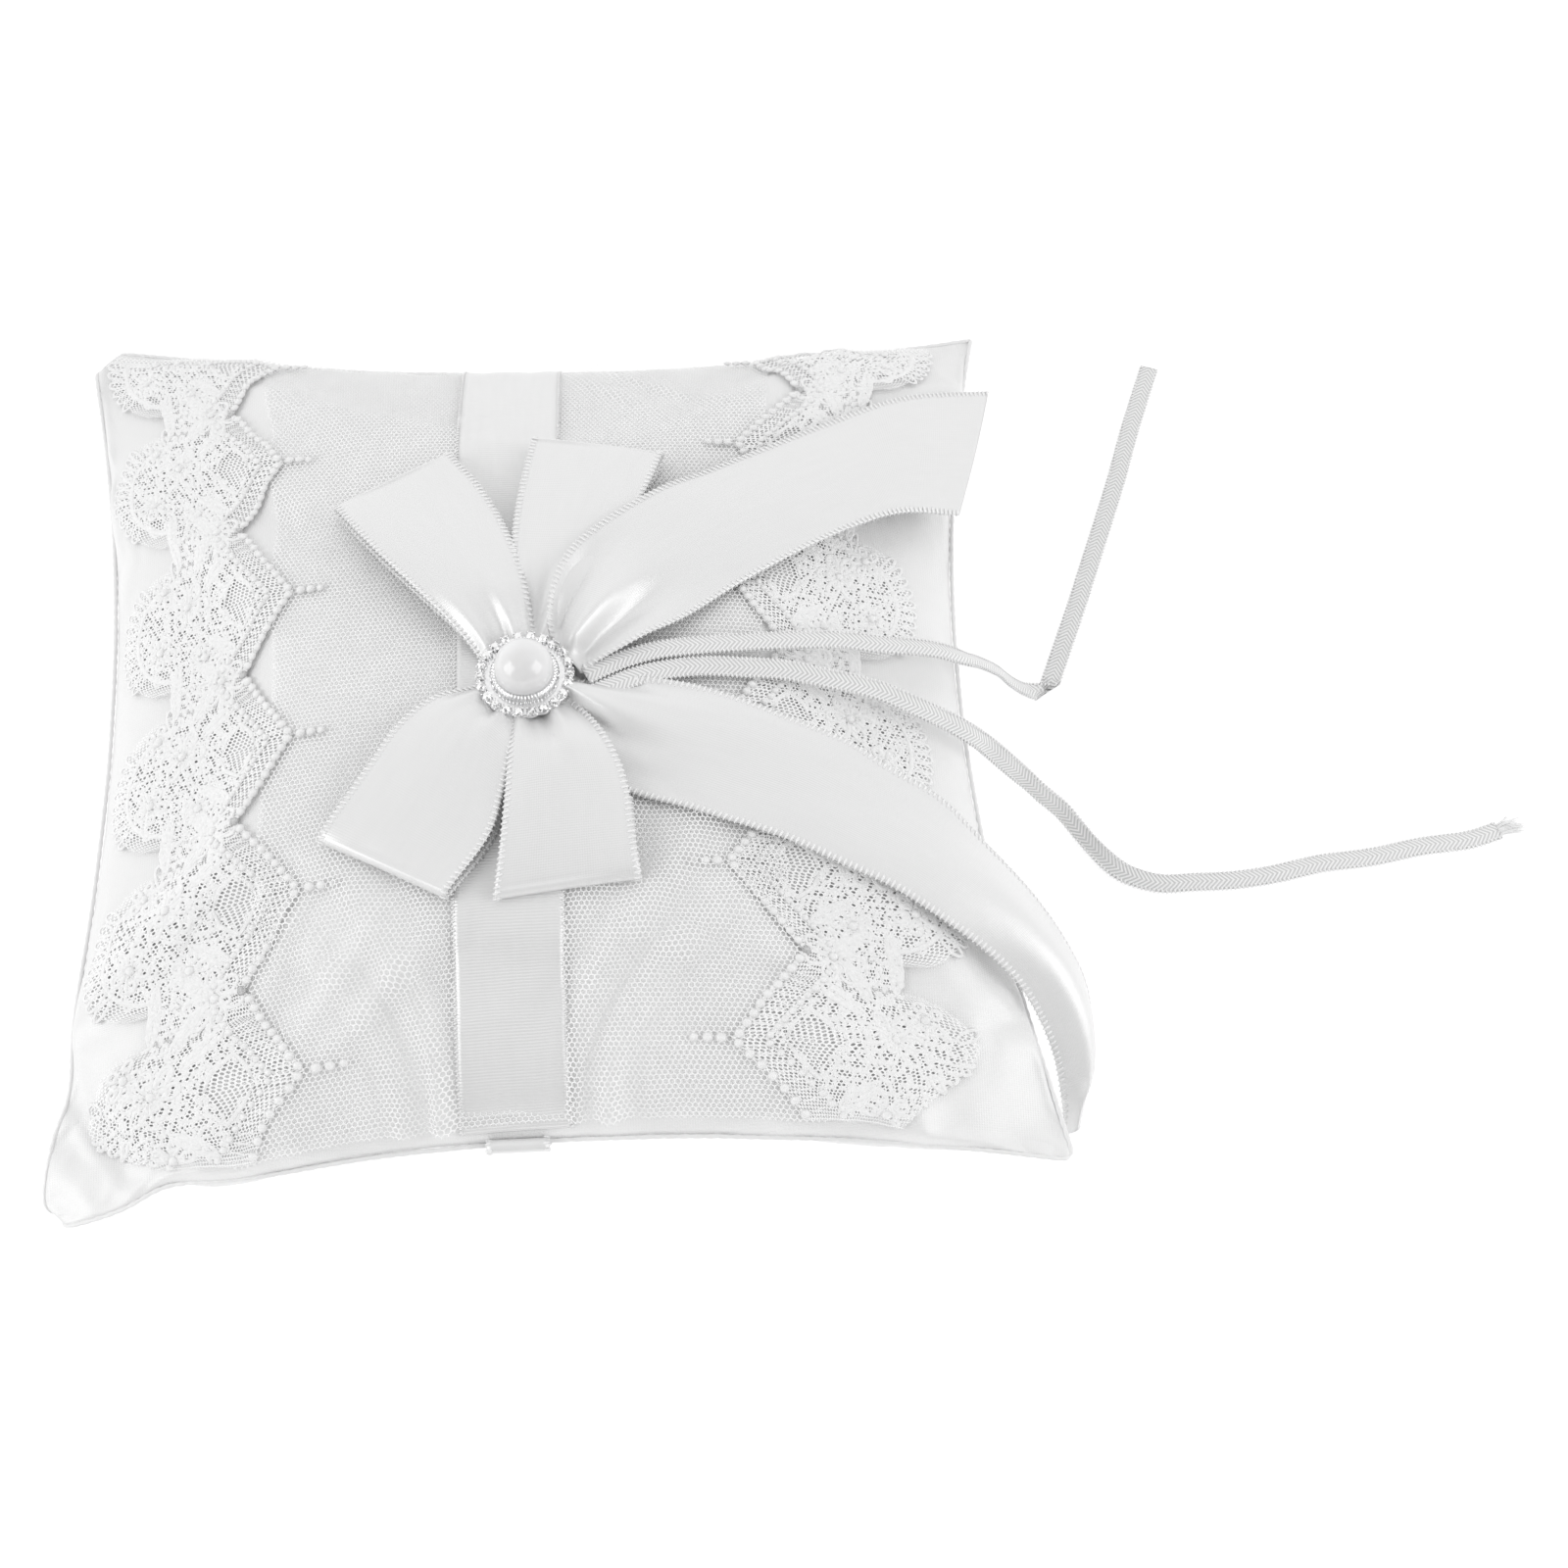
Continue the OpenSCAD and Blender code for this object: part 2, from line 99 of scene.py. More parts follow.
# Bow loops: left and right edges in plan from the knot to the fold, and how high the loop puffs up
BOW_LOOPS = {
    "bow_loop_upper_left": (
        [(-10, -6), (-14, 0), (-22, 9.6), (-30.5, 20.2), (-36.5, 28.6), (-41.5, 36.5)],
        [(0, -2), (-0.5, 5), (-2, 14), (-5.5, 26), (-10.5, 37.5), (-17.5, 49)], 2.8),
    "bow_loop_upper": (
        [(-5, -2), (-4.5, 8), (-4.5, 18), (-4, 28), (-2.5, 40), (-0.5, 52.5)],
        [(5, -2), (10, 6), (15, 16), (20, 28), (24, 38), (27, 47)], 1.6),
    "bow_loop_lower_left": (
        [(-9, -9), (-13.5, -11.5), (-21, -14.5), (-27.5, -20), (-33.5, -28.5), (-42.5, -40.5)],
        [(-2, -17), (-3.5, -22), (-4.8, -28), (-6.5, -36), (-9.5, -44.5), (-17.5, -54.5)], 2.6),
    "bow_loop_lower": (
        [(-5, -15), (-5, -22), (-5.5, -30), (-6.2, -38), (-7.3, -47), (-8.6, -55)],
        [(6, -13), (11, -19.5), (15.5, -28), (17.8, -36), (18.6, -45), (19.5, -52)], 2.9),
}


# ---- Camera, light and floor ---------------------------------------------------------------------

def make_camera():
    azimuth, elevation, distance = math.radians(-3), math.radians(60), 0.590
    target = Vector((0.049, -0.0225, 0.025))
    back = Vector((math.sin(azimuth) * math.cos(elevation),
                   -math.cos(azimuth) * math.cos(elevation), math.sin(elevation)))
    data = bpy.data.cameras.new("camera")
    data.lens, data.sensor_width = 66.0, 36.0
    data.clip_start, data.clip_end = 0.01, 20
    camera = bpy.data.objects.new("camera", data)
    camera.location = target + back * distance
    camera.rotation_euler = back.to_track_quat("Z", "Y").to_euler()
    bpy.context.collection.objects.link(camera)
    bpy.context.scene.camera = camera


def make_light(name, place, size, power, target=(0, 0, 0.03)):
    data = bpy.data.lights.new(name, "AREA")
    data.shape, data.size, data.size_y = "RECTANGLE", size[0], size[1]
    data.energy = power
    lamp = bpy.data.objects.new(name, data)
    lamp.location = place
    lamp.rotation_euler = (Vector(place) - Vector(target)).to_track_quat("Z", "Y").to_euler()
    bpy.context.collection.objects.link(lamp)


def make_studio():
    """Two soft boxes at the front, and a room that is brightest behind the pillow."""
    scene = bpy.context.scene
    scene.view_settings.view_transform = "Standard"
    world = bpy.data.worlds.new("studio")
    scene.world = world
    world.use_nodes = True
    nodes, links = world.node_tree.nodes, world.node_tree.links
    place = nodes.new("ShaderNodeTexCoord")
    split = nodes.new("ShaderNodeSeparateXYZ")
    shift = nodes.new("ShaderNodeMath")
    shift.operation = "MULTIPLY_ADD"
    shift.inputs[1].default_value = shift.inputs[2].default_value = 0.5
    ramp = nodes.new("ShaderNodeValToRGB")
    stops = ramp.color_ramp.elements
    stops.new(0.5)
    for stop, (position, value) in zip(stops, ((0.15, 0.45), (0.5, 0.80), (0.92, 1.1))):
        stop.position, stop.color = position, (value, value, value, 1)
    links.new(place.outputs["Generated"], split.inputs[0])
    links.new(split.outputs["Y"], shift.inputs[0])
    links.new(shift.outputs[0], ramp.inputs[0])
    links.new(ramp.outputs[0], nodes["Background"].inputs["Color"])
    nodes["Background"].inputs["Strength"].default_value = 0.95
    make_light("soft_box_left", (-0.95, -0.38, 0.55), (0.8, 0.8), 4.6)
    make_light("soft_box_right", (0.95, -0.38, 0.55), (0.8, 0.8), 3.9)


def make_floor():
    mesh = bpy.data.meshes.new("floor")
    r = 4
    mesh.from_pydata([(-r, -r, 0), (r, -r, 0), (r, r, 0), (-r, r, 0)], [], [(0, 1, 2, 3)])
    floor = bpy.data.objects.new("floor", mesh)
    floor.location.z = -0.0002
    bpy.context.collection.objects.link(floor)
    material = bpy.data.materials.new("floor")
    material.use_nodes = True
    shader = material.node_tree.nodes["Principled BSDF"]
    shader.inputs["Base Color"].default_value = (0.55, 0.55, 0.55, 1)
    shader.inputs["Roughness"].default_value = 0.9
    shader.inputs["Specular IOR Level"].default_value = 0.0
    shader.inputs["Emission Color"].default_value = (1, 1, 1, 1)
    shader.inputs["Emission Strength"].default_value = 0.60
    mesh.materials.append(material)


# ---- Materials -----------------------------------------------------------------------------------

class Recipe:
    """A node material under construction."""

    def __init__(self, name, **settings):
        self.material = bpy.data.materials.new(name)
        self.material.use_nodes = True
        self.nodes, self.links = self.material.node_tree.nodes, self.material.node_tree.links
        self.shader = self.nodes["Principled BSDF"]
        for socket, value in settings.items():
            self.shader.inputs[socket.replace("_", " ")].default_value = value

    def add(self, kind, inputs=(), **properties):
        node = self.nodes.new("ShaderNode" + kind)
        for key, value in properties.items():
            setattr(node, key, value)
        for key, value in dict(inputs).items():
            self.put(node.inputs[key], value)
        return node

    def put(self, socket, value):
        if isinstance(value, bpy.types.NodeSocket):
            self.links.new(value, socket)
        else:
            socket.default_value = value

    def math(self, operation, a, b=0.0):
        return self.add("Math", {0: a, 1: b}, operation=operation).outputs[0]

    def vector(self, operation, a, b=(0, 0, 0)):
        node = self.add("VectorMath", {0: a, 1: b}, operation=operation)
        return node.outputs["Value"] if operation in ("LENGTH", "DOT_PRODUCT") else node.outputs[0]

    def ramp(self, factor, low, high, start=0.0, end=1.0):
        node = self.add("ValToRGB", {0: factor})
        first, last = node.color_ramp.elements
        first.position, last.position = start, end
        first.color, last.color = (*low, 1), (*high, 1)
        return node.outputs[0]

    def noise(self, vector, scale, detail=2.0):
        return self.add("TexNoise", {"Vector": vector, "Scale": scale, "Detail": detail}).outputs[0]

    def lines(self, coordinate, pitch):
        """A smooth 0 to 1 wave along one coordinate."""
        turn = self.math("MULTIPLY", coordinate, 2 * math.pi / pitch)
        return self.math("MULTIPLY_ADD", self.math("SINE", turn), 0.5)

    def bump(self, height, distance, strength=1.0, below=None):
        inputs = {"Height": height, "Distance": distance, "Strength": strength}
        if below is not None:
            inputs["Normal"] = below
        return self.add("Bump", inputs).outputs[0]

    def place(self):
        return self.add("TexCoord").outputs["Object"]

    def flat(self):
        """Across and along the cloth, in metres."""
        split = self.add("SeparateXYZ", {0: self.add("UVMap", uv_map="cloth").outputs[0]})
        return split.outputs["X"], split.outputs["Y"]

    def finish(self, color=None, normal=None, alpha=None, roughness=None):
        for socket, value in (("Base Color", color), ("Normal", normal), ("Alpha", alpha),
                              ("Roughness", roughness)):
            if value is not None:
                self.links.new(value, self.shader.inputs[socket])
        return self.material


def grey(value, blue=1.0):
    return (value, value, value * blue)


def make_cover_satin():
    """Bridal satin: a fine weave, soft sheen and faint uneven tension."""
    r = Recipe("cover_satin", Metallic=0.12, Roughness=0.36, Specular_IOR_Level=0.5,
               Sheen_Weight=0.15, Sheen_Roughness=0.4)
    place = r.place()
    uneven = r.noise(place, 34, 3)
    color = r.ramp(uneven, grey(0.83), grey(0.87), 0.3, 0.7)
    split = r.add("SeparateXYZ", {0: place})
    weave = r.math("MULTIPLY", r.lines(split.outputs["X"], 0.5 * MM), r.lines(split.outputs["Y"], 0.42 * MM))
    soft = r.bump(r.noise(place, 60, 2), 1.2 * MM, 0.5)
    normal = r.bump(weave, 0.05 * MM, 0.7, soft)
    roughness = r.add("MapRange", {0: uneven, 3: 0.36, 4: 0.5}).outputs[0]
    return r.finish(color, normal, roughness=roughness)


def make_ribbon_satin(name, low, high, rib, depth, rough=0.34, rib_share=0.6):
    """Woven satin ribbon: ribs across, a floating warp along, and a soft streak to the sheen."""
    r = Recipe(name, Metallic=0.25, Roughness=rough, Specular_IOR_Level=0.6, Sheen_Weight=0.05)
    across, along = r.flat()
    stretched = r.add("CombineXYZ", {0: r.math("MULTIPLY", across, 700), 1: r.math("MULTIPLY", along, 90)})
    color = r.ramp(r.noise(stretched.outputs[0], 1.0, 2), grey(low), grey(high), 0.25, 0.75)
    ribs = r.lines(along, rib)
    warp = r.lines(across, rib * 0.8)
    weave = r.add("Mix", {0: rib_share, 2: warp, 3: ribs}).outputs[0]
    soft = r.bump(r.noise(r.place(), 90, 2), 0.6 * MM, 0.35)
    normal = r.bump(weave, depth, 0.8, soft)
    return r.finish(color, normal)


def make_tie_satin():
    """Narrow ribbon with a herringbone twill between two stitched edges; the twill's relief is real, and its hollows
    are painted darker as shade.
    """
    r = Recipe("tie_satin", Roughness=0.38, Specular_IOR_Level=0.5)
    across, along = r.flat()
    centre = r.math("ABSOLUTE", r.math("SUBTRACT", across, TIE_WIDTH / 2))
    slant = r.math("ADD", along, centre)
    twill = r.lines(slant, 1.0 * MM)
    # Painted shade: the colour is darker in the twill's hollows, where the same wave sets the bump low.
    color = r.ramp(twill, grey(0.62), grey(0.93), 0.1, 0.9)
    return r.finish(color, r.bump(twill, 0.10 * MM, 0.8))


def make_net(name, pitch, wire, value):
    """Hexagonal net: threads round open cells."""
    r = Recipe(name, Roughness=0.7, Specular_IOR_Level=0.2, Sheen_Weight=0.3)
    across, along = r.flat()
    point = r.add("CombineXYZ", {0: r.math("DIVIDE", across, pitch),
                                 1: r.math("DIVIDE", along, pitch)}).outputs[0]
    cell = (1.0, math.sqrt(3), 1.0)
    half = (0.5, math.sqrt(3) / 2, 0.5)
    shifted = r.vector("ADD", point, (400.0, 400 * math.sqrt(3), 0.0))
    first = r.vector("SUBTRACT", r.vector("MODULO", shifted, cell), half)
    second = r.vector("SUBTRACT", r.vector("MODULO", r.vector("ADD", shifted, half), cell), half)
    flat = (1.0, 1.0, 0.0)
    first, second = r.vector("MULTIPLY", first, flat), r.vector("MULTIPLY", second, flat)
    nearer = r.math("LESS_THAN", r.vector("LENGTH", second), r.vector("LENGTH", first))
    local = r.add("Mix", {0: nearer, 4: first, 5: second}, data_type="VECTOR").outputs[1]
    size = r.vector("ABSOLUTE", local)
    slanted = r.vector("DOT_PRODUCT", size, (0.5, math.sqrt(3) / 2, 0.0))
    upright = r.vector("DOT_PRODUCT", size, (1.0, 0.0, 0.0))
    edge = r.math("MAXIMUM", slanted, upright)
    thread = r.add("MapRange", {0: edge, 1: 0.5 - wire, 2: 0.5 - wire * 0.55, 3: 0.0, 4: 1.0}).outputs[0]
    color = r.ramp(r.noise(r.place(), 220, 1), grey(value - 0.05), grey(value), 0.3, 0.7)
    return r.finish(color, r.bump(thread, 0.1 * MM, 0.5), alpha=thread)


def make_thread(name, value, grain, rough=0.62):
    """Twisted embroidery cotton."""
    r = Recipe(name, Roughness=rough, Specular_IOR_Level=0.3, Sheen_Weight=0.2)
    place = r.place()
    fibre = r.noise(place, grain, 3)
    color = r.ramp(fibre, grey(value - 0.07), grey(value), 0.35, 0.65)
    return r.finish(color, r.bump(fibre, 0.15 * MM, 0.6))


def make_silver():
    r = Recipe("silver", Metallic=1.0, Roughness=0.18)
    place = r.place()
    grain = r.noise(place, 1400, 3)
    color = r.ramp(grain, grey(0.88, 1.01), grey(1.0), 0.3, 0.7)
    roughness = r.add("MapRange", {0: grain, 3: 0.10, 4: 0.30}).outputs[0]
    return r.finish(color, r.bump(grain, 0.04 * MM, 0.5), roughness=roughness)


def make_rhinestone():
    """Foil-backed glass: facets that flash or go dark from one to the next."""
    r = Recipe("rhinestone", Metallic=0.85, Roughness=0.04, Coat_Weight=1.0, Coat_Roughness=0.02)
    cells = r.add("TexVoronoi", {"Vector": r.place(), "Scale": 1900})
    shade = r.add("SeparateColor", {0: cells.outputs["Color"]}).outputs[0]
    return r.finish(r.ramp(shade, grey(0.42, 1.02), grey(1.0), 0.06, 0.3))


def make_pearl():
    """Nacre: a soft body under a clear coat, with slow cloudy bands, and a painted sheen that lightens its colour
    towards the outline.
    """
    r = Recipe("pearl", Roughness=0.22, Specular_IOR_Level=0.5, Coat_Weight=1.0, Coat_Roughness=0.05,
               Sheen_Weight=0.1)
    place = r.place()
    cloud = r.noise(place, 160, 3)
    # Painted sheen: the colour blends to a lighter grey where the surface turns away from the view, at the pearl's
    # outline.
    facing = r.add("LayerWeight", {"Blend": 0.35}).outputs["Facing"]
    body = r.ramp(cloud, (0.74, 0.735, 0.73), (0.82, 0.82, 0.825), 0.3, 0.7)
    rim = r.add("Mix", {0: facing, 6: body, 7: (0.9, 0.9, 0.91, 1)}, data_type="RGBA").outputs[2]
    return r.finish(rim, r.bump(cloud, 0.05 * MM, 0.3))


# ---- Mesh building -------------------------------------------------------------------------------

def unit(v):
    return v / np.maximum(np.linalg.norm(v, axis=-1, keepdims=True), 1e-12)


def smooth_step(x, low, high):
    t = np.clip((x - low) / (high - low), 0, 1)
    return t * t * (3 - 2 * t)


def add_mesh(name, points, faces, material, smooth=True):
    mesh = bpy.data.meshes.new(name)
    mesh.from_pydata(np.asarray(points).tolist(), [], faces)
    mesh.materials.append(material)
    mesh.polygons.foreach_set("use_smooth", [smooth] * len(mesh.polygons))
    piece = bpy.data.objects.new(name, mesh)
    bpy.context.collection.objects.link(piece)
    return piece


def grid_quads(rows, cols, start=0, wrap=False):
    index = start + np.arange(rows * cols).reshape(rows, cols)
    if wrap:
        index = np.concatenate([index, index[:, :1]], axis=1)
    corners = (index[:-1, :-1], index[:-1, 1:], index[1:, 1:], index[1:, :-1])
    return np.stack([corner.ravel() for corner in corners], axis=1)


def lengths_along(grid, axis):
    """Running length through a grid of points, averaged over the other direction."""
    step = np.linalg.norm(np.diff(grid, axis=axis), axis=-1).mean(axis=1 - axis)
    return np.concatenate([[0], np.cumsum(step)])


def add_cloth(name, grid, material, thickness=0.0, across=None, along=None):
    """A sheet from a grid of points, with its flat size in metres as the UV map "cloth"."""
    rows, cols = grid.shape[:2]
    quads = grid_quads(rows, cols)
    piece = add_mesh(name, grid.reshape(-1, 3), quads.tolist(), material)
    across = lengths_along(grid, 1) if across is None else across
    along = lengths_along(grid, 0) if along is None else along
    flat = np.stack(np.meshgrid(across, along), axis=-1).reshape(-1, 2)
    layer = piece.data.uv_layers.new(name="cloth")
    layer.data.foreach_set("uv", flat[quads.ravel()].ravel())
    if thickness:
        solid = piece.modifiers.new("thickness", "SOLIDIFY")
        solid.thickness, solid.offset = thickness, 0
    return piece


def place(piece, slot, *nodes, body="pillow"):
    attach(piece, body)
    if nodes:
        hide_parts(*nodes)
    return piece


class Threads:
    """Collects many small tubes and beads into one mesh."""

    def __init__(self):
        self.points, self.faces, self.count = [], [], 0

    def take(self, points, faces):
        self.points.append(points)
        self.faces += (np.asarray(faces) + self.count).tolist()
        self.count += len(points)

    def tube(self, line, normal, width, height, sides=6, closed=False, taper=True):
        """Sweeps an oval section along a line. Width and height may change along it."""
        line, count = np.asarray(line, float), len(line)
        if closed:
            tangent = unit(np.roll(line, -1, 0) - np.roll(line, 1, 0))
        else:
            tangent = unit(np.gradient(line, axis=0))
        side = unit(np.cross(normal, tangent))
        up = np.cross(tangent, side)
        width, height = (np.broadcast_to(value, count).astype(float).copy() for value in (width, height))
        if taper and not closed:
            for end in (0, -1):
                width[end] *= 0.45
                height[end] *= 0.45
        turn = np.linspace(0, 2 * math.pi, sides, endpoint=False)
        rings = (line[:, None] + side[:, None] * (np.cos(turn)[None, :, None] * width[:, None, None] / 2)
                 + up[:, None] * (np.sin(turn)[None, :, None] * height[:, None, None] / 2))
        faces = grid_quads(count, sides, wrap=True)
        points = rings.reshape(-1, 3)
        if closed:
            last, first = (count - 1) * sides + np.arange(sides), np.arange(sides)
            seam = np.stack([last, np.roll(last, -1), np.roll(first, -1), first], axis=1)
            self.take(points, np.concatenate([faces, seam]))
            return
        ends = np.stack([line[0], line[-1]])
        total = len(points)
        around = np.arange(sides)
        low = np.stack([np.roll(around, -1), around, np.full(sides, total), np.full(sides, total)], axis=1)
        high = (count - 1) * sides + around
        top = np.stack([high, np.roll(high, -1), np.full(sides, total + 1), np.full(sides, total + 1)],
                       axis=1)
        self.points.append(np.concatenate([points, ends]))
        self.faces += (faces + self.count).tolist()
        self.faces += (low[:, :3] + self.count).tolist() + (top[:, :3] + self.count).tolist()
        self.count += total + 2

    def beads(self, centres, normals, size, height=0.7):
        """Low round knots of thread."""
        around, up = 8, 3
        turn = np.linspace(0, 2 * math.pi, around, endpoint=False)
        for centre, normal in zip(centres, normals):
            side = unit(np.cross(normal, (0.3, 0.9, 0.2)))
            other = np.cross(normal, side)
            rings = []
            for level in np.linspace(-0.35, 0.36, up) * math.pi:
                radius = size / 2 * math.cos(level)
                ring = (centre + normal * size / 2 * height * math.sin(level)
                        + radius * (np.cos(turn)[:, None] * side + np.sin(turn)[:, None] * other))
                rings.append(ring)
            tip = normal * size / 2 * height
            points = np.concatenate(rings + [[centre - tip, centre + tip]])
            start, total = self.count, up * around
            self.points.append(points)
            self.faces += (grid_quads(up, around, start, wrap=True)).tolist()
            ring = np.arange(around)
            cap = np.stack([np.roll(ring, -1), ring, np.full(around, total)], 1)
            self.faces += (cap + start).tolist()
            ring = ring + (up - 1) * around
            cap = np.stack([ring, np.roll(ring, -1), np.full(around, total + 1)], 1)
            self.faces += (cap + start).tolist()
            self.count += total + 2

    def build(self, name, material):
        return add_mesh(name, np.concatenate(self.points), self.faces, material)


def along_line(line, spacing, margin=0.0):
    """Even places along a line, as shares of its points' index."""
    run = np.concatenate([[0], np.cumsum(np.linalg.norm(np.diff(line, axis=0), axis=1))])
    count = max(2, int((run[-1] - 2 * margin) / spacing) + 1)
    return np.interp(np.linspace(margin, run[-1] - margin, count), run, np.arange(len(line)))


def pick(values, index):
    """Linear reading of a list of points at fractional places."""
    low = np.clip(index.astype(int), 0, len(values) - 2)
    share = (index - low)[:, None]
    return values[low] * (1 - share) + values[low + 1] * share


def smooth_curve(points, per_span=8, scale=MM):
    """A Catmull-Rom curve through the given points."""
    p = np.array(points, float) * scale
    p = np.concatenate([[2 * p[0] - p[1]], p, [2 * p[-1] - p[-2]]])
    curve = []
    for a, b, c, d in zip(p[:-3], p[1:-2], p[2:-1], p[3:]):
        for t in np.arange(per_span) / per_span:
            curve.append(0.5 * (2 * b + (c - a) * t + (2 * a - 5 * b + 4 * c - d) * t * t
                                + (3 * b - a - 3 * c + d) * t ** 3))
    curve.append(p[-2])
    return np.array(curve)


def even_curve(points, spacing, scale=MM):
    line = smooth_curve(points, scale=scale)
    return pick(line, along_line(line, spacing))


def stitched_edge(threads, edge, inward, normal, pitch=1.15 * MM, reach=1.3 * MM, slant=0.25,
                  width=0.55 * MM):
    """Whip stitches over a ribbon's edge."""
    index = along_line(edge, pitch, margin=0.6 * MM)
    inside, up = unit(pick(inward, index)), unit(pick(normal, index))
    at, forward = pick(edge, index), unit(np.cross(up, inside))
    for a, i, n, f in zip(at, inside, up, forward):
        share = np.array([0, 0.35, 0.7, 1.0])[:, None]
        line = a - i * 0.25 * MM + share * (i * (reach + 0.25 * MM) + f * slant * pitch)
        line = line + n * (0.14 + 0.14 * np.sin(share * math.pi)) * MM
        threads.tube(line, n, width, width * 0.62, sides=6)


# ---- Pillow shape --------------------------------------------------------------------------------

def corner_shift(u, v):
    """How far each corner stands off the even outline, fading along the sides."""
    shift = [np.zeros_like(u * v), np.zeros_like(u * v)]
    for (i, j), move in CORNER_SHIFTS.items():
        near = ((1 + i * u) / 2 * (1 + j * v) / 2) ** 3
        for axis in (0, 1):
            shift[axis] = shift[axis] + near * move[axis] * MM
    return shift


def half_sizes(u, v):
    """Half the width and half the height of the outline through u and v."""
    side = np.where(u > 0, RIGHT_DIP, EDGE_DIP) * (1 - v * v)
    end = np.where(v < 0, NEAR_DIP, EDGE_DIP) * (1 - u * u)
    return PILLOW_HALF - side, PILLOW_HALF - end


def plan(u, v):
    (width, height), (x, y) = half_sizes(u, v), corner_shift(u, v)
    return u * width + x, v * height + y


def share_across(x, y):
    """The u and v that plan() takes to a place."""
    u, v = x / PILLOW_HALF, y / PILLOW_HALF
    for _ in range(10):
        (width, height), (dx, dy) = half_sizes(u, v), corner_shift(u, v)
        u, v = (x - dx) / width, (y - dy) / height
    return u, v


def crown(u, v):
    return np.sqrt(np.maximum(0, (1 - u * u) * (1 - v * v)))


def seam_z(x, y):
    a, b = x / PILLOW_HALF, y / PILLOW_HALF
    corner = sum((1 + i * a) / 2 * (1 + j * b) / 2 * z for (i, j), z in SEAM_CORNERS.items())
    return SEAM_HEIGHT + (corner - SEAM_HEIGHT) * (a * b) ** 2


def from_corner(x, y, i, j):
    """Distance in from a corner along its diagonal, and off that diagonal."""
    a, b = i * (i * PILLOW_HALF - x), j * (j * PILLOW_HALF - y)
    return (a + b) / math.sqrt(2), (a - b) / math.sqrt(2)


def blunt_corner(x, y, i, j, depth):
    """Rounds a corner's tip by drawing it in."""
    inward, _ = from_corner(x, y, i, j)
    pull = (np.sqrt(inward ** 2 + depth ** 2) - inward) / math.sqrt(2)
    return x - i * pull, y - j * pull


def flat_ears(x, y):
    """How full the pillow is: the near left corner is an empty flap beyond a crease."""
    near_left, off = from_corner(x, y, -1, -1)
    full = 0.12 + 0.9 * smooth_step(near_left + 0.12 * off, 17 * MM, 25 * MM)
    for i, j in ((-1, 1), (1, 1), (1, -1)):
        inward, _ = from_corner(x, y, i, j)
        full = full * (0.45 + 0.55 * smooth_step(inward, 4 * MM, 20 * MM))
    return full


def puckers(u, v):
    """Small gathers where the panels are drawn into the seam."""
    x, y = u * PILLOW_HALF, v * PILLOW_HALF
    near_side = np.exp(-((1 - np.abs(u)) * PILLOW_HALF / (7 * MM)) ** 2)
    near_end = np.exp(-((1 - np.abs(v)) * PILLOW_HALF / (7 * MM)) ** 2)
    ripple_side = np.sin(y / (1.9 * MM) + 2.0 * np.sin(y / (13 * MM)))
    ripple_side = ripple_side * (0.6 + 0.4 * np.sin(y / (21 * MM) + u))
    ripple_end = np.sin(x / (2.1 * MM) + 2.0 * np.sin(x / (15 * MM)))
    ripple_end = ripple_end * (0.6 + 0.4 * np.sin(x / (19 * MM) + v))
    rim = np.minimum(1, np.minimum(1 - np.abs(u), 1 - np.abs(v)) * PILLOW_HALF / (2.5 * MM))
    return 0.45 * MM * rim * (near_side * ripple_side + near_end * ripple_end)


def grid_steps(n):
    even = np.linspace(-1, 1, n + 1)
    return 0.55 * even + 0.45 * np.sin(even * math.pi / 2)


def pillow_grids(n):
    steps = grid_steps(n)
    u, v = np.meshgrid(steps, steps)
    x, y = plan(u, v)
    full = flat_ears(x, y)
    z = seam_z(x, y)
    ripple = puckers(u, v)
    top_z = z + FRONT_RISE * crown(u, v) * full + ripple
    low_z = np.maximum(0.0003, z - BACK_DEPTH * crown(u, v) * full + ripple)
    near_left, off = from_corner(x, y, -1, -1)
    neck = 0.16 * np.exp(-((near_left - 20 * MM) / (7 * MM)) ** 2) * off / math.sqrt(2)
    x, y = x - neck, y + neck
    for i, j, depth in ((-1, 1, 1.5 * MM), (-1, -1, 3.2 * MM), (1, 1, 1.2 * MM), (1, -1, 1.2 * MM)):
        x, y = blunt_corner(x, y, i, j, depth)
    return steps, np.stack([x, y, top_z], axis=-1), np.stack([x, y, low_z], axis=-1)


def weld_grids(top, low):
    """One closed mesh from two grids that share their rim."""
    n = top.shape[0]
    index_top = np.arange(n * n).reshape(n, n)
    index_low = index_top.copy()
    inner = np.zeros((n, n), bool)
    inner[1:-1, 1:-1] = True
    index_low[inner] = n * n + np.arange(inner.sum())
    points = np.concatenate([top.reshape(-1, 3), low[inner]])
    quads = []
    for grid, flip in ((index_top, False), (index_low, True)):
        a, b, c, d = grid[:-1, :-1], grid[:-1, 1:], grid[1:, 1:], grid[1:, :-1]
        order = (d, c, b, a) if flip else (a, b, c, d)
        quads += np.stack([q.ravel() for q in order], axis=1).tolist()
    return points, quads, index_top, index_low


def rim_of(index):
    """The outline of a grid, in order."""
    return np.concatenate([index[0, :-1], index[:-1, -1], index[-1, :0:-1], index[:0:-1, 0]])


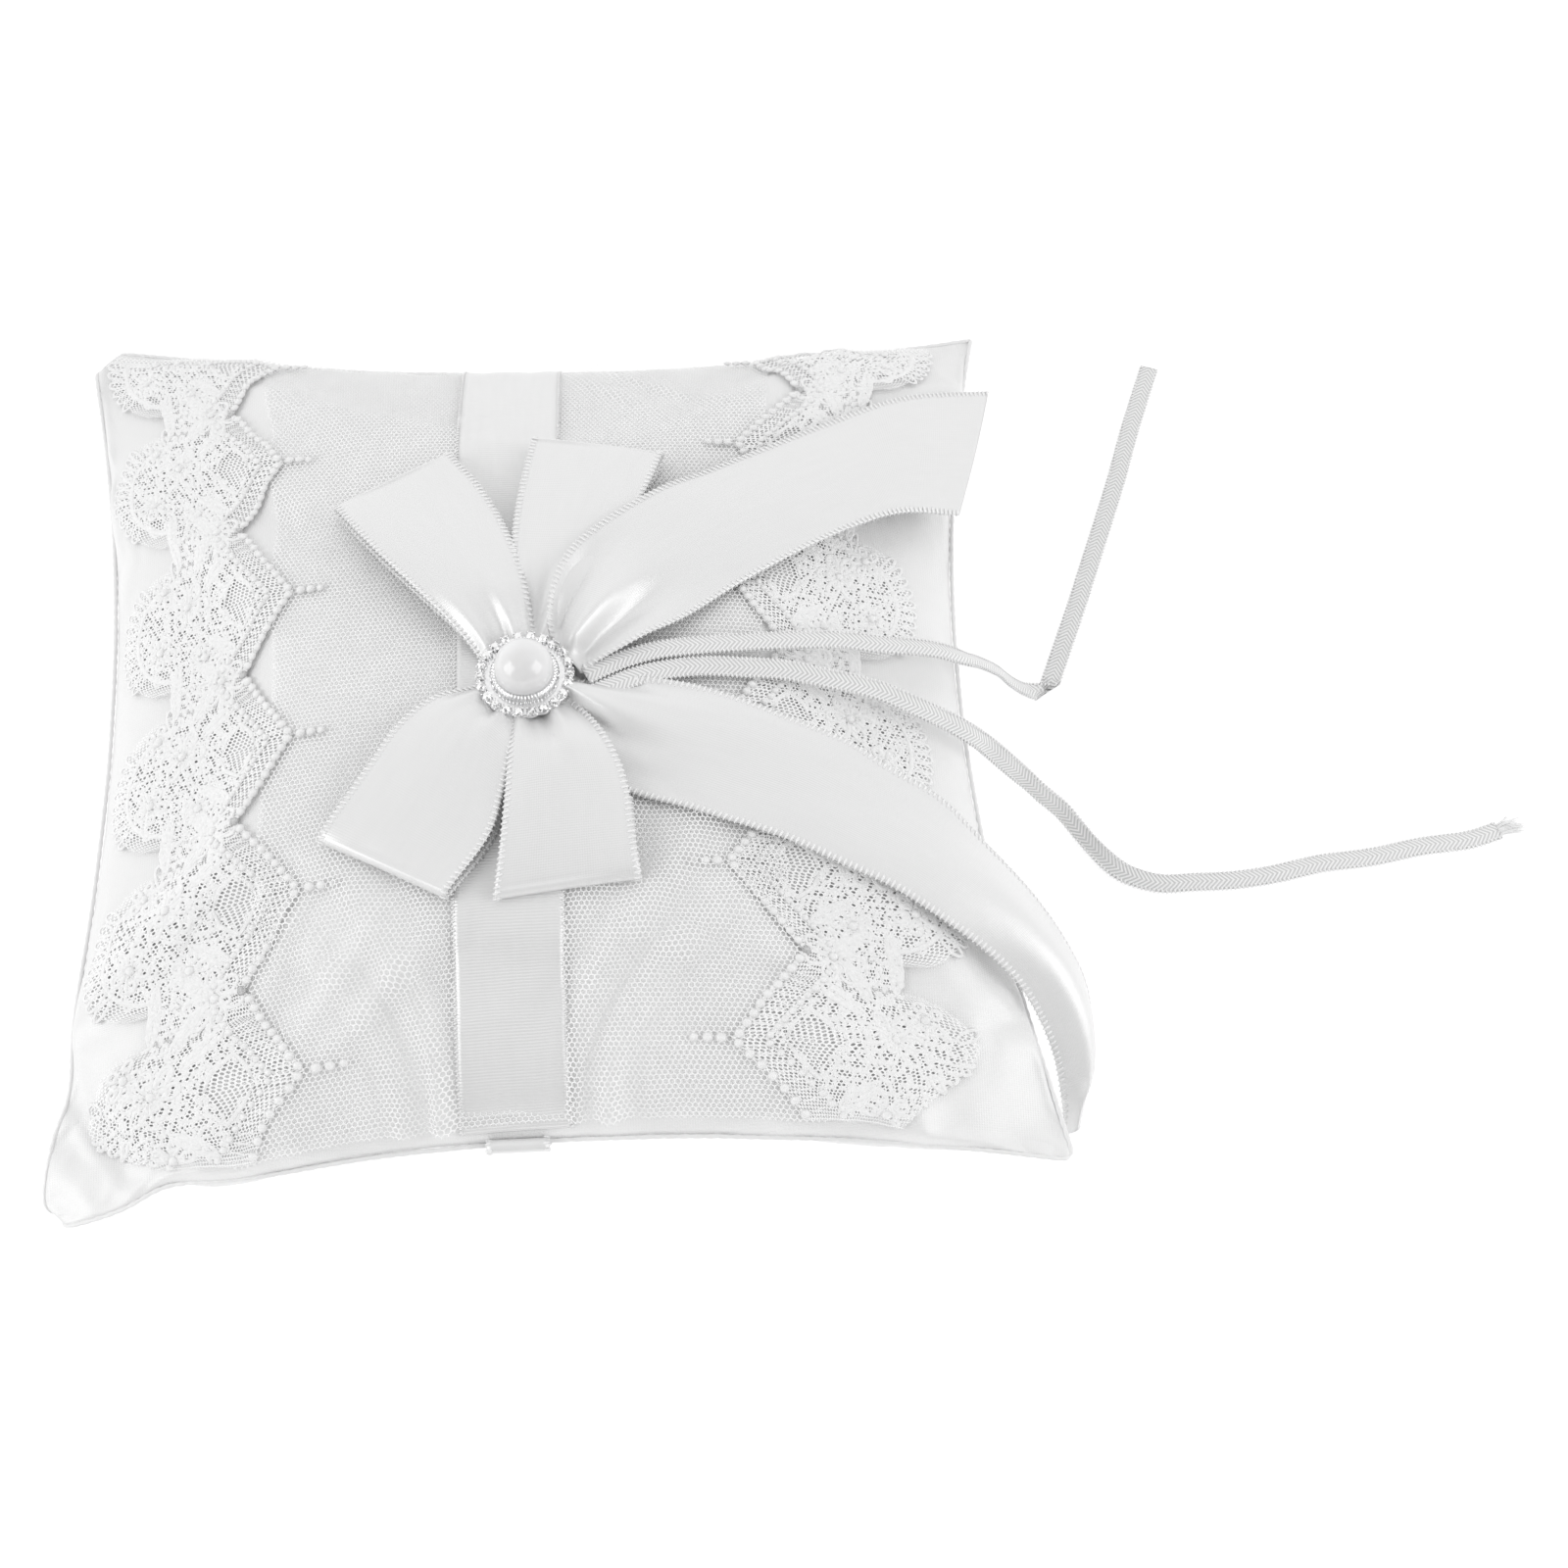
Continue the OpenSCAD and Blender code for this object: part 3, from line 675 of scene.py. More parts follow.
def inflate(points, quads, rim, frames=20, cap=2.6 * MM):
    """Cloth simulation of the closed cover: pressure inside, a little spare cloth, the seam held."""
    mesh = bpy.data.meshes.new("cover_sim")
    mesh.from_pydata(points.tolist(), [], quads)
    piece = bpy.data.objects.new("cover_sim", mesh)
    bpy.context.collection.objects.link(piece)
    held = piece.vertex_groups.new(name="held")
    held.add(rim.tolist(), 1.0, "REPLACE")
    cloth = piece.modifiers.new("cloth", "CLOTH")
    settings = cloth.settings
    settings.quality = 5
    settings.mass = 0.12
    settings.tension_stiffness = settings.compression_stiffness = 18
    settings.shear_stiffness = 6
    settings.bending_stiffness = 0.08
    settings.vertex_group_mass = "held"
    settings.pin_stiffness = 1
    settings.shrink_min = settings.shrink_max = -0.03
    settings.use_pressure = True
    settings.uniform_pressure_force = 2.0
    settings.effector_weights.gravity = 0
    cloth.collision_settings.use_self_collision = False
    cloth.point_cache.frame_start, cloth.point_cache.frame_end = 1, frames
    scene = bpy.context.scene
    for number in range(1, frames + 1):
        scene.frame_set(number)
    shape = piece.evaluated_get(bpy.context.evaluated_depsgraph_get()).to_mesh()
    moved = np.zeros(len(points) * 3)
    shape.vertices.foreach_get("co", moved)
    scene.frame_set(1)
    bpy.data.objects.remove(piece)
    shift = moved.reshape(-1, 3) - points
    length = np.linalg.norm(shift, axis=1, keepdims=True)
    return shift * (cap * np.tanh(length / cap) / np.maximum(length, 1e-9)) * 0.8


class Front:
    """The finished front panel as a grid, on which trims are laid."""

    def __init__(self, steps, grid):
        self.steps, self.grid = steps, grid
        self.normal = unit(np.cross(np.gradient(grid, axis=1), np.gradient(grid, axis=0)))
        self.arc = np.concatenate([np.zeros((len(steps), 1)), np.cumsum(
            np.linalg.norm(np.diff(grid, axis=1), axis=-1), axis=1)], axis=1)

    def read(self, field, u, v):
        count = np.arange(len(self.steps))
        col, row = np.interp(u, self.steps, count), np.interp(v, self.steps, count)
        c, r = (np.clip(value.astype(int), 0, len(count) - 2) for value in (col, row))
        a, b = (col - c)[..., None], (row - r)[..., None]
        if field.ndim == 2:
            a, b = a[..., 0], b[..., 0]
        return ((field[r, c] * (1 - a) + field[r, c + 1] * a) * (1 - b)
                + (field[r + 1, c] * (1 - a) + field[r + 1, c + 1] * a) * b)

    def lift(self, u, v, height=0.0):
        """Points a height above the panel, and the way up at each."""
        u, v = np.broadcast_arrays(np.asarray(u, float), np.asarray(v, float))
        up = unit(self.read(self.normal, u, v))
        return self.read(self.grid, u, v) + up * np.asarray(height)[..., None], up

    def height_at(self, x, y):
        u, v = share_across(x, y)
        z = self.read(self.grid, np.clip(u, -1, 1), np.clip(v, -1, 1))[..., 2]
        return np.where((np.abs(u) <= 1) & (np.abs(v) <= 1), z, 0.0)

    def inward(self, s, v, outer):
        """u at a distance s over the cloth from the line u=outer, at each v."""
        s, v = np.broadcast_arrays(np.asarray(s, float), np.asarray(v, float))
        way = -np.sign(outer)
        wanted = self.read(self.arc, np.full(v.shape, outer), v) + way * s
        row = np.interp(v, self.steps, np.arange(len(self.steps)))
        flat = [np.interp(w, self.arc[int(round(r))], self.steps)
                for w, r in zip(wanted.ravel(), row.ravel())]
        return np.array(flat).reshape(v.shape)


def make_pillow(satin):
    steps, top, low = pillow_grids(110)
    points, quads, index_top, _ = weld_grids(top, low)
    rim = rim_of(index_top)
    points = points + inflate(points, quads, rim)
    points[:, 2] = np.maximum(points[:, 2], 0.0003)
    cover = add_mesh("pillow_cover", points, quads, satin)
    cover.modifiers.new("smooth", "SUBSURF").render_levels = 1
    place(cover, "satin_cover", "front_cover", "back_cover", "fibre_filling")
    make_edge_seam(points[rim], satin)
    return Front(steps, points[index_top])


def make_edge_seam(line, satin):
    """The rolled seam, nipped at every stitch."""
    closed = np.concatenate([line, line[:1]])
    index = along_line(closed, 0.55 * MM)[:-1]
    line = pick(closed, index)
    stitch = np.abs(np.sin(np.arange(len(line)) * math.pi * 0.55 / 2.6))
    wander = np.sin(np.arange(len(line)) * 0.021) * 0.2 + np.sin(np.arange(len(line)) * 0.113) * 0.12
    out = unit(line * (1, 1, 0))
    line = line - out * 0.1 * MM + np.array([0, 0, 1]) * (wander * MM)[:, None]
    size = SEAM_RADIUS * 2 * (0.72 + 0.28 * stitch)
    threads = Threads()
    threads.tube(line, np.array([0, 0, 1.0]), size, size * 0.85, sides=10, closed=True)
    seam = threads.build("edge_seam_roll", satin)
    place(seam, "satin_cover", "edge_seam")


# ---- Trims on the front --------------------------------------------------------------------------

TULLE_SIDES = (-0.60, 0.53)
LACE_LEFT_OUTER, LACE_RIGHT_OUTER = -0.985, 0.925
LACE_PITCH = 36 * MM
LACE_TIPS = [y * MM for y in (93, 56.5, 18.5, -16, -49, -83, -117)]
VALLEY, TIP = 37 * MM, 50 * MM
BAND_WIDTH = 21.5 * MM


def pleat_height(x, y):
    """Gathers of the tulle beside the centre band, drawn together towards the seams."""
    near, far = smooth_step(-y, 15 * MM, 75 * MM), smooth_step(y, 55 * MM, 88 * MM)
    centre = -7 * MM
    spread = 1 + 2.2 * (1 - smooth_step(-y, 25 * MM, 92 * MM)) * (1 - far)
    q = (x - centre) / spread
    reach = np.exp(-((np.abs(q) - 15 * MM) / (8 * MM)) ** 2)
    reach = reach * smooth_step(np.abs(x - centre), 9 * MM, 14 * MM)
    turn = q / (1.8 * MM) + 1.2 * np.sin(q / (6 * MM)) + 0.5 * np.sin(y / (19 * MM))
    fold = np.abs(np.sin(turn)) ** 2.2
    fine = np.abs(np.sin(2.3 * turn + 1.0 + np.sin(y / (9 * MM))))
    right = smooth_step(x, 0.0, 20 * MM)
    return ((3.6 * near + 2.4 * far * right) * fold + 0.6 * (near + far * right) * fine) * reach * MM


def make_tulle(front, net):
    v = np.sin(np.linspace(-1, 1, 211) * math.pi / 2 * 0.92) / math.sin(math.pi / 2 * 0.92) * 0.985
    u = np.linspace(*TULLE_SIDES, 261)
    u, v = np.meshgrid(u, v)
    x, y = plan(u, v)
    slack = 0.25 * MM * (1 + np.sin(x / (17 * MM) + y / (31 * MM)) * np.sin(y / (23 * MM)))
    points, _ = front.lift(u, v, 0.45 * MM + slack + pleat_height(x, y))
    tulle = add_cloth("tulle_net", points, net)
    place(tulle, "tulle_net", "tulle_overlay")


def make_centre_band(front, satin, thread):
    y = np.linspace(-1, 1, 241)
    v = np.sin(y * math.pi / 2 * 0.97) / math.sin(math.pi / 2 * 0.97) * 0.992
    s = np.linspace(-0.5, 0.5, 15)
    middle = (-5.5 - 1.0 * smooth_step(-v, 0.1, 0.9)) * MM
    x = middle[:, None] + s[None, :] * BAND_WIDTH
    v = np.broadcast_to(v[:, None], x.shape)
    u = x / half_sizes(-np.ones_like(v), v)[0]
    level = (0.9 + 0.15 * np.sin(v * 19) * (s[None, :] ** 2) * 4) * MM
    level = level * (1 - 0.6 * smooth_step(np.abs(v), 0.93, 1))
    points, up = front.lift(u, v, level)
    band = add_cloth("centre_band_ribbon", points, satin, 0.3 * MM)
    threads = Threads()
    for side, step in ((0, 1), (-1, -2)):
        inward = points[:, step] - points[:, side]
        stitched_edge(threads, points[:, side], inward, up[:, side], pitch=0.9 * MM, reach=0.4 * MM,
                      width=0.4 * MM)
    edging = threads.build("centre_band_edging", thread)
    place(band, "band_ribbon", "centre_band")
    place(edging, "thread")


# ---- Lace ----------------------------------------------------------------------------------------

def circle_line(s, t, radius, start=0, end=360, count=None, squeeze=1.0):
    a = np.radians(np.linspace(start, end, count or max(5, int(abs(end - start) / 18) + 1)))
    return np.stack([s + radius * np.cos(a) * squeeze, t + radius * np.sin(a)], axis=1)


def radial_loop(s, t, angle, near, far, width, count=11):
    """A narrow thread loop that points away from (s, t)."""
    a, turn = math.radians(angle), np.linspace(0, 2 * math.pi, count, endpoint=False)
    r = (near + far) / 2 + (far - near) / 2 * np.cos(turn)
    w = width / 2 * np.sin(turn) * (0.75 + 0.25 * np.cos(turn))
    return np.stack([s + r * math.cos(a) - w * math.sin(a), t + r * math.sin(a) + w * math.cos(a)], axis=1)


def lace_motif():
    """One repeat, in millimetres: s in from the outer edge and t along the pillow.

    Returns lines as (points, width, height, closed) and beads as (s, t, size)."""
    lines, beads = [], []
    fan_s, fan_t, half = 19.0, -3.0, LACE_PITCH / MM / 2
    tip, valley = TIP / MM, VALLEY / MM
    for angle in np.arange(96, 266, 9.5):
        lines.append((radial_loop(fan_s, fan_t, angle, 12.4, 17.4, 2.5), 0.75, 0.5, True))
    lines.append((circle_line(fan_s, fan_t, 12.2, 84, 276, 26), 1.1, 0.6, False))
    for flower_s, flower_t, petals, size in ((21, 2.5, 6, 5.6), (13.5, -7, 5, 4.2), (30.0, half, 7, 6.0),
                                             (25.5, -11, 5, 4.0), (14.5, 7.5, 5, 3.6)):
        for petal in range(petals):
            angle = petal * 360 / petals + flower_s * 20
            for share in (0.55, 1.0):
                lines.append((radial_loop(flower_s, flower_t, angle, 1.2, size * share, size * 0.62 * share, 12),
                              0.9, 0.65, True))
        beads.append((flower_s, flower_t, 2.0))
    for side in (-1, 1):
        for leaf_s, leaf_t, angle, size in ((29.5, 8.6, 35, 4.8), (25.5, 13.2, 62, 4.0), (18.5, 15.4, 100, 3.4)):
            for share in (0.35, 0.7, 1.0):
                lines.append((radial_loop(leaf_s, side * leaf_t, side * angle, -size * share, size * share,
                                          2.9 * share, 12), 0.8, 0.6, True))
        window = [(31.0, side * 0.3), (32.0, side * 3.6), (35.6, side * 6.4), (38.4, side * 3.4), (40, side * 0.3)]
        lines.append((np.array(window), 1.1, 0.6, False))
        for share in np.linspace(0.05, 1, 10):
            beads.append((tip - 1.5 + (valley - tip) * share, side * half * share, 1.9))
            beads.append((tip - 6.6 + (valley - tip) * share, side * (half - 2.6) * share, 1.5))
        for share in np.linspace(0.08, 0.95, 11):
            outer = np.array([tip - 1.5 + (valley - tip) * share, side * half * share])
            inner = np.array([tip - 6.6 + (valley - tip) * share, side * (half - 2.6) * share])
            lines.append((np.linspace(outer, inner, 4), 0.5, 0.35, False))
        for start, reach in ((tip - 1.5, half), (tip - 6.6, half - 2.6)):
            lines.append((np.linspace((start, 0), (start + valley - tip, side * reach), 14), 0.9, 0.5, False))
    for step, size in enumerate((2.1, 2.0, 1.7)):
        beads.append((tip + 0.8 + 2.3 * step, 0, size))
    for fill_s in np.arange(6, 44, 1.55):
        for fill_t in np.arange(-half + 0.8, half, 1.75):
            wobble = math.sin(fill_s * 12.9898 + fill_t * 78.233) * 43758.5453
            turn, shift = (wobble % 1) * 2 * math.pi, (wobble * 7 % 1 - 0.5) * 1.2
            reach = math.hypot(fill_s - fan_s, fill_t - fan_t)
            in_window = abs(fill_t) < 6 and abs(fill_s - 35.6) + abs(fill_t) < 6
            past_rail = fill_s > tip - 8 + (valley - tip) * abs(fill_t) / half
            outside = fill_s < fan_s - 1 and reach > 12.0
            if in_window or past_rail or outside:
                continue
            a = np.linspace(0, 3.9, 7)
            radius = 0.75 + 0.35 * (wobble * 3 % 1)
            curl = np.stack([fill_s + shift + radius * np.cos(a + turn), fill_t + radius * np.sin(a + turn)], axis=1)
            lines.append((curl, 0.85, 0.45, False))
    return lines, beads


def lace_scale(y):
    """The lace is cut wider towards the near side."""
    return np.interp(y, [-83 * MM, -49 * MM, -16 * MM, 60 * MM], [1.17, 1.04, 0.93, 0.9])


def lace_outline(y):
    """Inner and outer edges of the lace ground, as distances in from its outer line."""
    turn = np.interp(y, LACE_TIPS[::-1], np.arange(len(LACE_TIPS)))
    t = (turn - np.round(turn)) * LACE_PITCH
    inner = TIP - 1.0 * MM + (VALLEY - TIP) * np.abs(t) / (LACE_PITCH / 2)
    arc = 18.0 * MM - np.sqrt(np.maximum(0, (15.5 * MM) ** 2 - (t + 3 * MM) ** 2))
    clear_of_ear = 17 * MM * smooth_step(-y, 76 * MM, 96 * MM)
    arc = np.where(np.abs(t + 3 * MM) < 15.5 * MM, arc, 18.0 * MM) + clear_of_ear
    return lace_scale(y) * arc, lace_scale(y) * inner


def make_lace(side, outer, front, net, thread):
    rows = np.linspace(-0.982, 0.982, 321)
    reach = PILLOW_HALF - EDGE_DIP * (1 - 0.75 ** 2)
    y = rows * reach
    start, end = lace_outline(y)
    share = np.linspace(0, 1, 31)
    s = start[:, None] + (end - start)[:, None] * share[None, :]
    v = np.broadcast_to(rows[:, None], s.shape)
    points, _ = front.lift(front.inward(s, v, outer), v, 0.9 * MM)
    ground = add_cloth(f"lace_ground_{side}", points, net)
    lines, beads = lace_motif()
    threads = Threads()
    limit = 0.978

    def lay(line, number):
        turn = number - line[:, 1] * MM / LACE_PITCH
        v = np.interp(turn, np.arange(len(LACE_TIPS)), LACE_TIPS) / reach
        s = line[:, 0] * lace_scale(v * reach) * MM
        u = front.inward(s, np.clip(v, -limit, limit), outer)
        kept = (np.abs(v) < limit) & (s > lace_outline(v * reach)[0] - 1.8 * MM)
        return u, v, kept

    for number in range(len(LACE_TIPS) - 1):
        for line, width, height, closed in lines:
            u, v, kept = lay(line, number)
            if not kept.all():
                continue
            centres, up = front.lift(u, v, (0.75 + height * 0.15) * MM)
            threads.tube(centres, up, width * 1.15 * MM, height * 0.55 * MM, sides=6, closed=closed)
        spots = np.array(beads)
        u, v, keep = lay(spots[:, :2], number)
        centres, up = front.lift(u[keep], v[keep], 0.95 * MM)
        for size in np.unique(spots[keep, 2]):
            chosen = spots[keep, 2] == size
            threads.beads(centres[chosen], up[chosen], size * 1.1 * MM, 0.5)
    embroidery = threads.build(f"lace_embroidery_{side}", thread)
    place(ground, "lace", f"lace_trim_{side}")
    place(embroidery, "lace")


# ---- Bow -----------------------------------------------------------------------------------------

def ribbon_grid(left, right, height, cols=25):
    """A ribbon between two edges, raised by height(s, t) along its normal: s across, t along."""
    s, t = np.linspace(0, 1, cols), np.linspace(0, 1, len(left))
    grid = left[:, None] + (right - left)[:, None] * s[None, :, None]
    normal = unit(np.cross(np.gradient(grid, axis=1), np.gradient(grid, axis=0)))
    normal = normal * np.where(normal[..., 2:].mean() < 0, -1, 1)
    return grid + normal * (height(s[None, :], t[:, None]) * MM)[..., None], normal


def add_ribbon(name, node, grid, normal, satin, thread):
    ribbon = add_cloth(name, grid, satin, 0.25 * MM)
    threads = Threads()
    for side, step in ((0, 2), (-1, -3)):
        inward = grid[:, step] - grid[:, side]
        for face in (1, -1):
            stitched_edge(threads, grid[:, side], inward, normal[:, side] * face, slant=0.25 * face)
    edging = threads.build(name + "_edging", thread)
    place(ribbon, "satin_ribbon", node)
    place(edging, "thread")


def make_bow_loop(node, front, satin, thread):
    """Out along the pillow, round a fold, and back above itself to the knot."""
    left_edge, right_edge, puff = BOW_LOOPS[node]
    low_count, fold_count, top_count, cols = 30, 12, 64, 33
    fold_radius, base = 1.2 * MM, 1.6 * MM

    def resample(points, count):
        line = smooth_curve(points, 10)
        return pick(line, np.linspace(0, len(line) - 1, count))

    def edge(points, sign):
        upper = resample(points, top_count)
        lower = resample(points, low_count)
        out = unit(upper[-1] - upper[-6])
        across = np.array([out[1], -out[0]]) * sign
        share = np.linspace(0, 1, low_count)[:, None]
        lower = lower + (out * 0.2 - across * 0.8 * (1 - share ** 2)) * MM
        turn = np.linspace(-math.pi / 2, math.pi / 2, fold_count)[1:-1, None]
        return np.concatenate([lower, upper[-1] + out * np.cos(turn) * fold_radius, upper[::-1]])

    left, right = edge(left_edge, -1), edge(right_edge, 1)
    s = np.linspace(0, 1, cols)[None, :]
    flat = left[:, None] + (right - left)[:, None] * s[..., None]
    floor = front.height_at(flat[..., 0], flat[..., 1])
    t_low, t_top = np.linspace(0, 1, low_count)[:, None], np.linspace(1, 0, top_count)[:, None]
    root_z = PLATE_LOW - 0.9 * MM
    to_root = 1 - smooth_step(t_low, 0.0, 0.3)
    low = (floor[:low_count] + base) * (1 - to_root) + (root_z - 2.2 * MM) * to_root
    turn = np.linspace(-math.pi / 2, math.pi / 2, fold_count)[1:-1, None]
    fold = floor[low_count:low_count + fold_count - 2] + base + fold_radius * (1 + np.sin(turn))
    arch = 0.7 + 0.3 * np.sin(s * math.pi)
    swell = np.sin(t_top ** 0.8 * math.pi) ** 0.7
    top = floor[-top_count:] + base + 2 * fold_radius + puff * MM * swell * arch
    to_root = 1 - smooth_step(t_top, 0.02, 0.38)
    top = top * (1 - to_root) + root_z * to_root
    seed = left[0, 0] * 260
    pleat = np.cos(s * 2 * math.pi * 1.9 + seed) + 0.35 * np.cos(s * 2 * math.pi * 4.2 + 2 * seed)
    near = 1 - smooth_step(t_top, 0.05, 0.5)
    top = top + pleat * 1.1 * MM * near * smooth_step(t_top, 0.0, 0.12)
    top = top + 0.35 * MM * np.sin(t_top * 5 + s * 4 + seed) * (1 - near)
    grid = np.concatenate([flat, np.concatenate([low, fold, top])[..., None]], axis=-1)
    normal = unit(np.cross(np.gradient(grid, axis=1), np.gradient(grid, axis=0)))
    add_ribbon(node + "_ribbon", node, grid, normal, satin, thread)


def make_tail(name, edges, front, satin, thread, shape):
    rows = 170
    left, right = (smooth_curve(edge, 14) for edge in edges)
    left, right = (pick(edge, np.interp(np.linspace(0, 1, rows), np.linspace(0, 1, 400),
                                        np.interp(np.linspace(0, 1, 400), [0, 1], [0, len(edge) - 1])))
                   for edge in (left, right))
    grid, normal = ribbon_grid(left, right, shape, 37)
    floor = front.height_at(grid[..., 0], grid[..., 1])
    grid[..., 2] = np.maximum(grid[..., 2], floor + 2.0 * MM)
    add_ribbon(name + "_ribbon", name, grid, normal, satin, thread)


def upper_tail_shape(s, t):
    root = smooth_step(t, 0.0, 0.05) * (1 - smooth_step(t, 0.12, 0.42))
    pleats = np.cos(s * 2 * math.pi * 1.9 + 0.3 + 2 * t) * 1.9 + np.cos(s * 2 * math.pi * 3.6) * 0.4
    return root * pleats + 1.2 * np.sin(s * math.pi) * (1 - 0.4 * t) + 0.4 * np.sin(t * 7 + s * 2)


def lower_tail_shape(s, t):
    root = 1 - smooth_step(t, 0.03, 0.28)
    pleats = np.cos(s * 2 * math.pi * 1.8 + 2.2) * 1.3 + np.cos(s * 2 * math.pi * 3.9 + 1) * 0.4
    bulge = 1.6 + 0.7 * np.sin(t * 8 + s * 2.4) + 2.8 * smooth_step(t, 0.5, 0.8)
    return root * pleats * 1.25 + bulge * np.sin(s * math.pi)


def make_knot(satin):
    """The gathered middle of the bow: cloth drawn in under the brooch in pleats."""
    around, rings = 288, 30
    turn = np.linspace(0, 2 * math.pi, around, endpoint=False)
    outline = [(2.2, 49.2), (4.5, 49.1), (7.0, 48.6), (8.8, 47.9), (9.8, 47.0), (10.0, 46.2), (9.6, 45.6)]
    profile = smooth_curve([(r, 0, z) for r, z in outline], 6)
    profile = pick(profile, np.linspace(0, len(profile) - 1, rings))
    pleats = (0.55 * np.abs(np.sin(turn * 8.5 + 0.7 * np.sin(turn * 3))) + 0.25 * np.sin(turn * 23)
              + 0.35 * np.sin(turn * 3 + 2.0))
    swell = smooth_step(profile[:, 0], 4 * MM, 10 * MM)[:, None] * pleats[None, :] * MM
    radius = np.minimum(profile[:, :1] + swell, 11.6 * MM)
    z = profile[:, 2:] + swell * 0.3
    points = np.stack([BROOCH[0] + radius * np.cos(turn), BROOCH[1] + radius * np.sin(turn),
                       np.minimum(z, PLATE_LOW - 0.3 * MM) + 0 * radius], axis=-1)
    points = np.concatenate([points, points[:, :1]], axis=1)[:, ::-1]
    knot = add_cloth("bow_knot_wrap", points, satin, 0.25 * MM)
    place(knot, "satin_ribbon", "bow_knot")


# ---- Brooch --------------------------------------------------------------------------------------

STONE_COUNT = 22
STONE_RING = 8.95 * MM
BEZEL_RADIUS = (BEZEL_HIGH[0] - BEZEL_LOW[0]) / 2


def lathe(name, outline, material, segments=96, wave=None):
    """Turns an outline of (radius, height) about the brooch's axis. wave(angle) adds to the height."""
    turn = np.linspace(0, 2 * math.pi, segments, endpoint=False)
    r, z = np.array(outline).T
    x = BROOCH[0] + r[:, None] * np.cos(turn)
    y = BROOCH[1] + r[:, None] * np.sin(turn)
    z = np.broadcast_to(z[:, None], x.shape).copy()
    if wave is not None:
        r_out, z_out = wave(turn, r[:, None], z)
        x, y, z = BROOCH[0] + r_out * np.cos(turn), BROOCH[1] + r_out * np.sin(turn), z_out
    points = np.stack([x, y, z], axis=-1).reshape(-1, 3)
    faces = grid_quads(len(r), segments, wrap=True).tolist()
    return add_mesh(name, points, faces, material)


def make_base(silver):
    low, high, edge = PLATE_LOW, PLATE_TOP, PLATE_RADIUS
    outline = [(0.01 * MM, low), (edge * 0.9, low), (edge - 0.25 * MM, low + 0.15 * MM), (edge, low + 0.5 * MM),
               (edge - 0.2 * MM, high - 0.05 * MM), (edge * 0.93, high), (0.01 * MM, high)]

    def scallop(turn, r, z):
        lobes = np.abs(np.cos(turn * STONE_COUNT / 2)) * 0.35 * MM
        return np.where(r > edge * 0.85, r - 0.35 * MM + lobes, r), z

    base = lathe("brooch_plate", outline, silver, STONE_COUNT * 10, scallop)
    place(base, "silver_metal", "brooch_base", body="brooch")


def make_shank(silver):
    low, r = PLATE_LOW - 3 * MM, 1.4 * MM
    outline = [(0.05 * MM, low), (r * 0.8, low), (r, low + 0.25 * MM), (r * 0.86, low + 1.3 * MM),
               (r, PLATE_LOW - 0.2 * MM), (r, PLATE_LOW + 0.05 * MM)]
    place(lathe("brooch_shank_post", outline, silver, 32), "silver_metal", "brooch_shank", body="brooch")


def make_bezel(silver):
    """A milled rim round the pearl: upright teeth on a low wall."""
    z, outer = PLATE_TOP, BEZEL_RADIUS
    inner = (PEARL_HIGH[0] - PEARL_LOW[0]) / 2 - 0.2 * MM
    outline = [(inner - 0.6 * MM, z + 0.3 * MM), (inner, z + 1.9 * MM), (inner + 0.45 * MM, z + 2.1 * MM),
               (outer - 0.25 * MM, z + 1.5 * MM), (outer, z + 0.9 * MM), (outer, z)]

    def teeth(turn, r, z_in):
        tooth = 0.5 + 0.5 * np.sign(np.sin(turn * 56)) * np.abs(np.sin(turn * 56)) ** 0.4
        top = (z_in > z + 0.5 * MM) & (r > inner)
        return (np.where(top, r + 0.16 * MM * (tooth - 0.5), r),
                np.where(top, z_in - 0.5 * MM * (1 - tooth), z_in))

    rim = lathe("brooch_milled_rim", outline, silver, 56 * 8, teeth)
    place(rim, "silver_metal", "brooch_bezel", body="brooch")


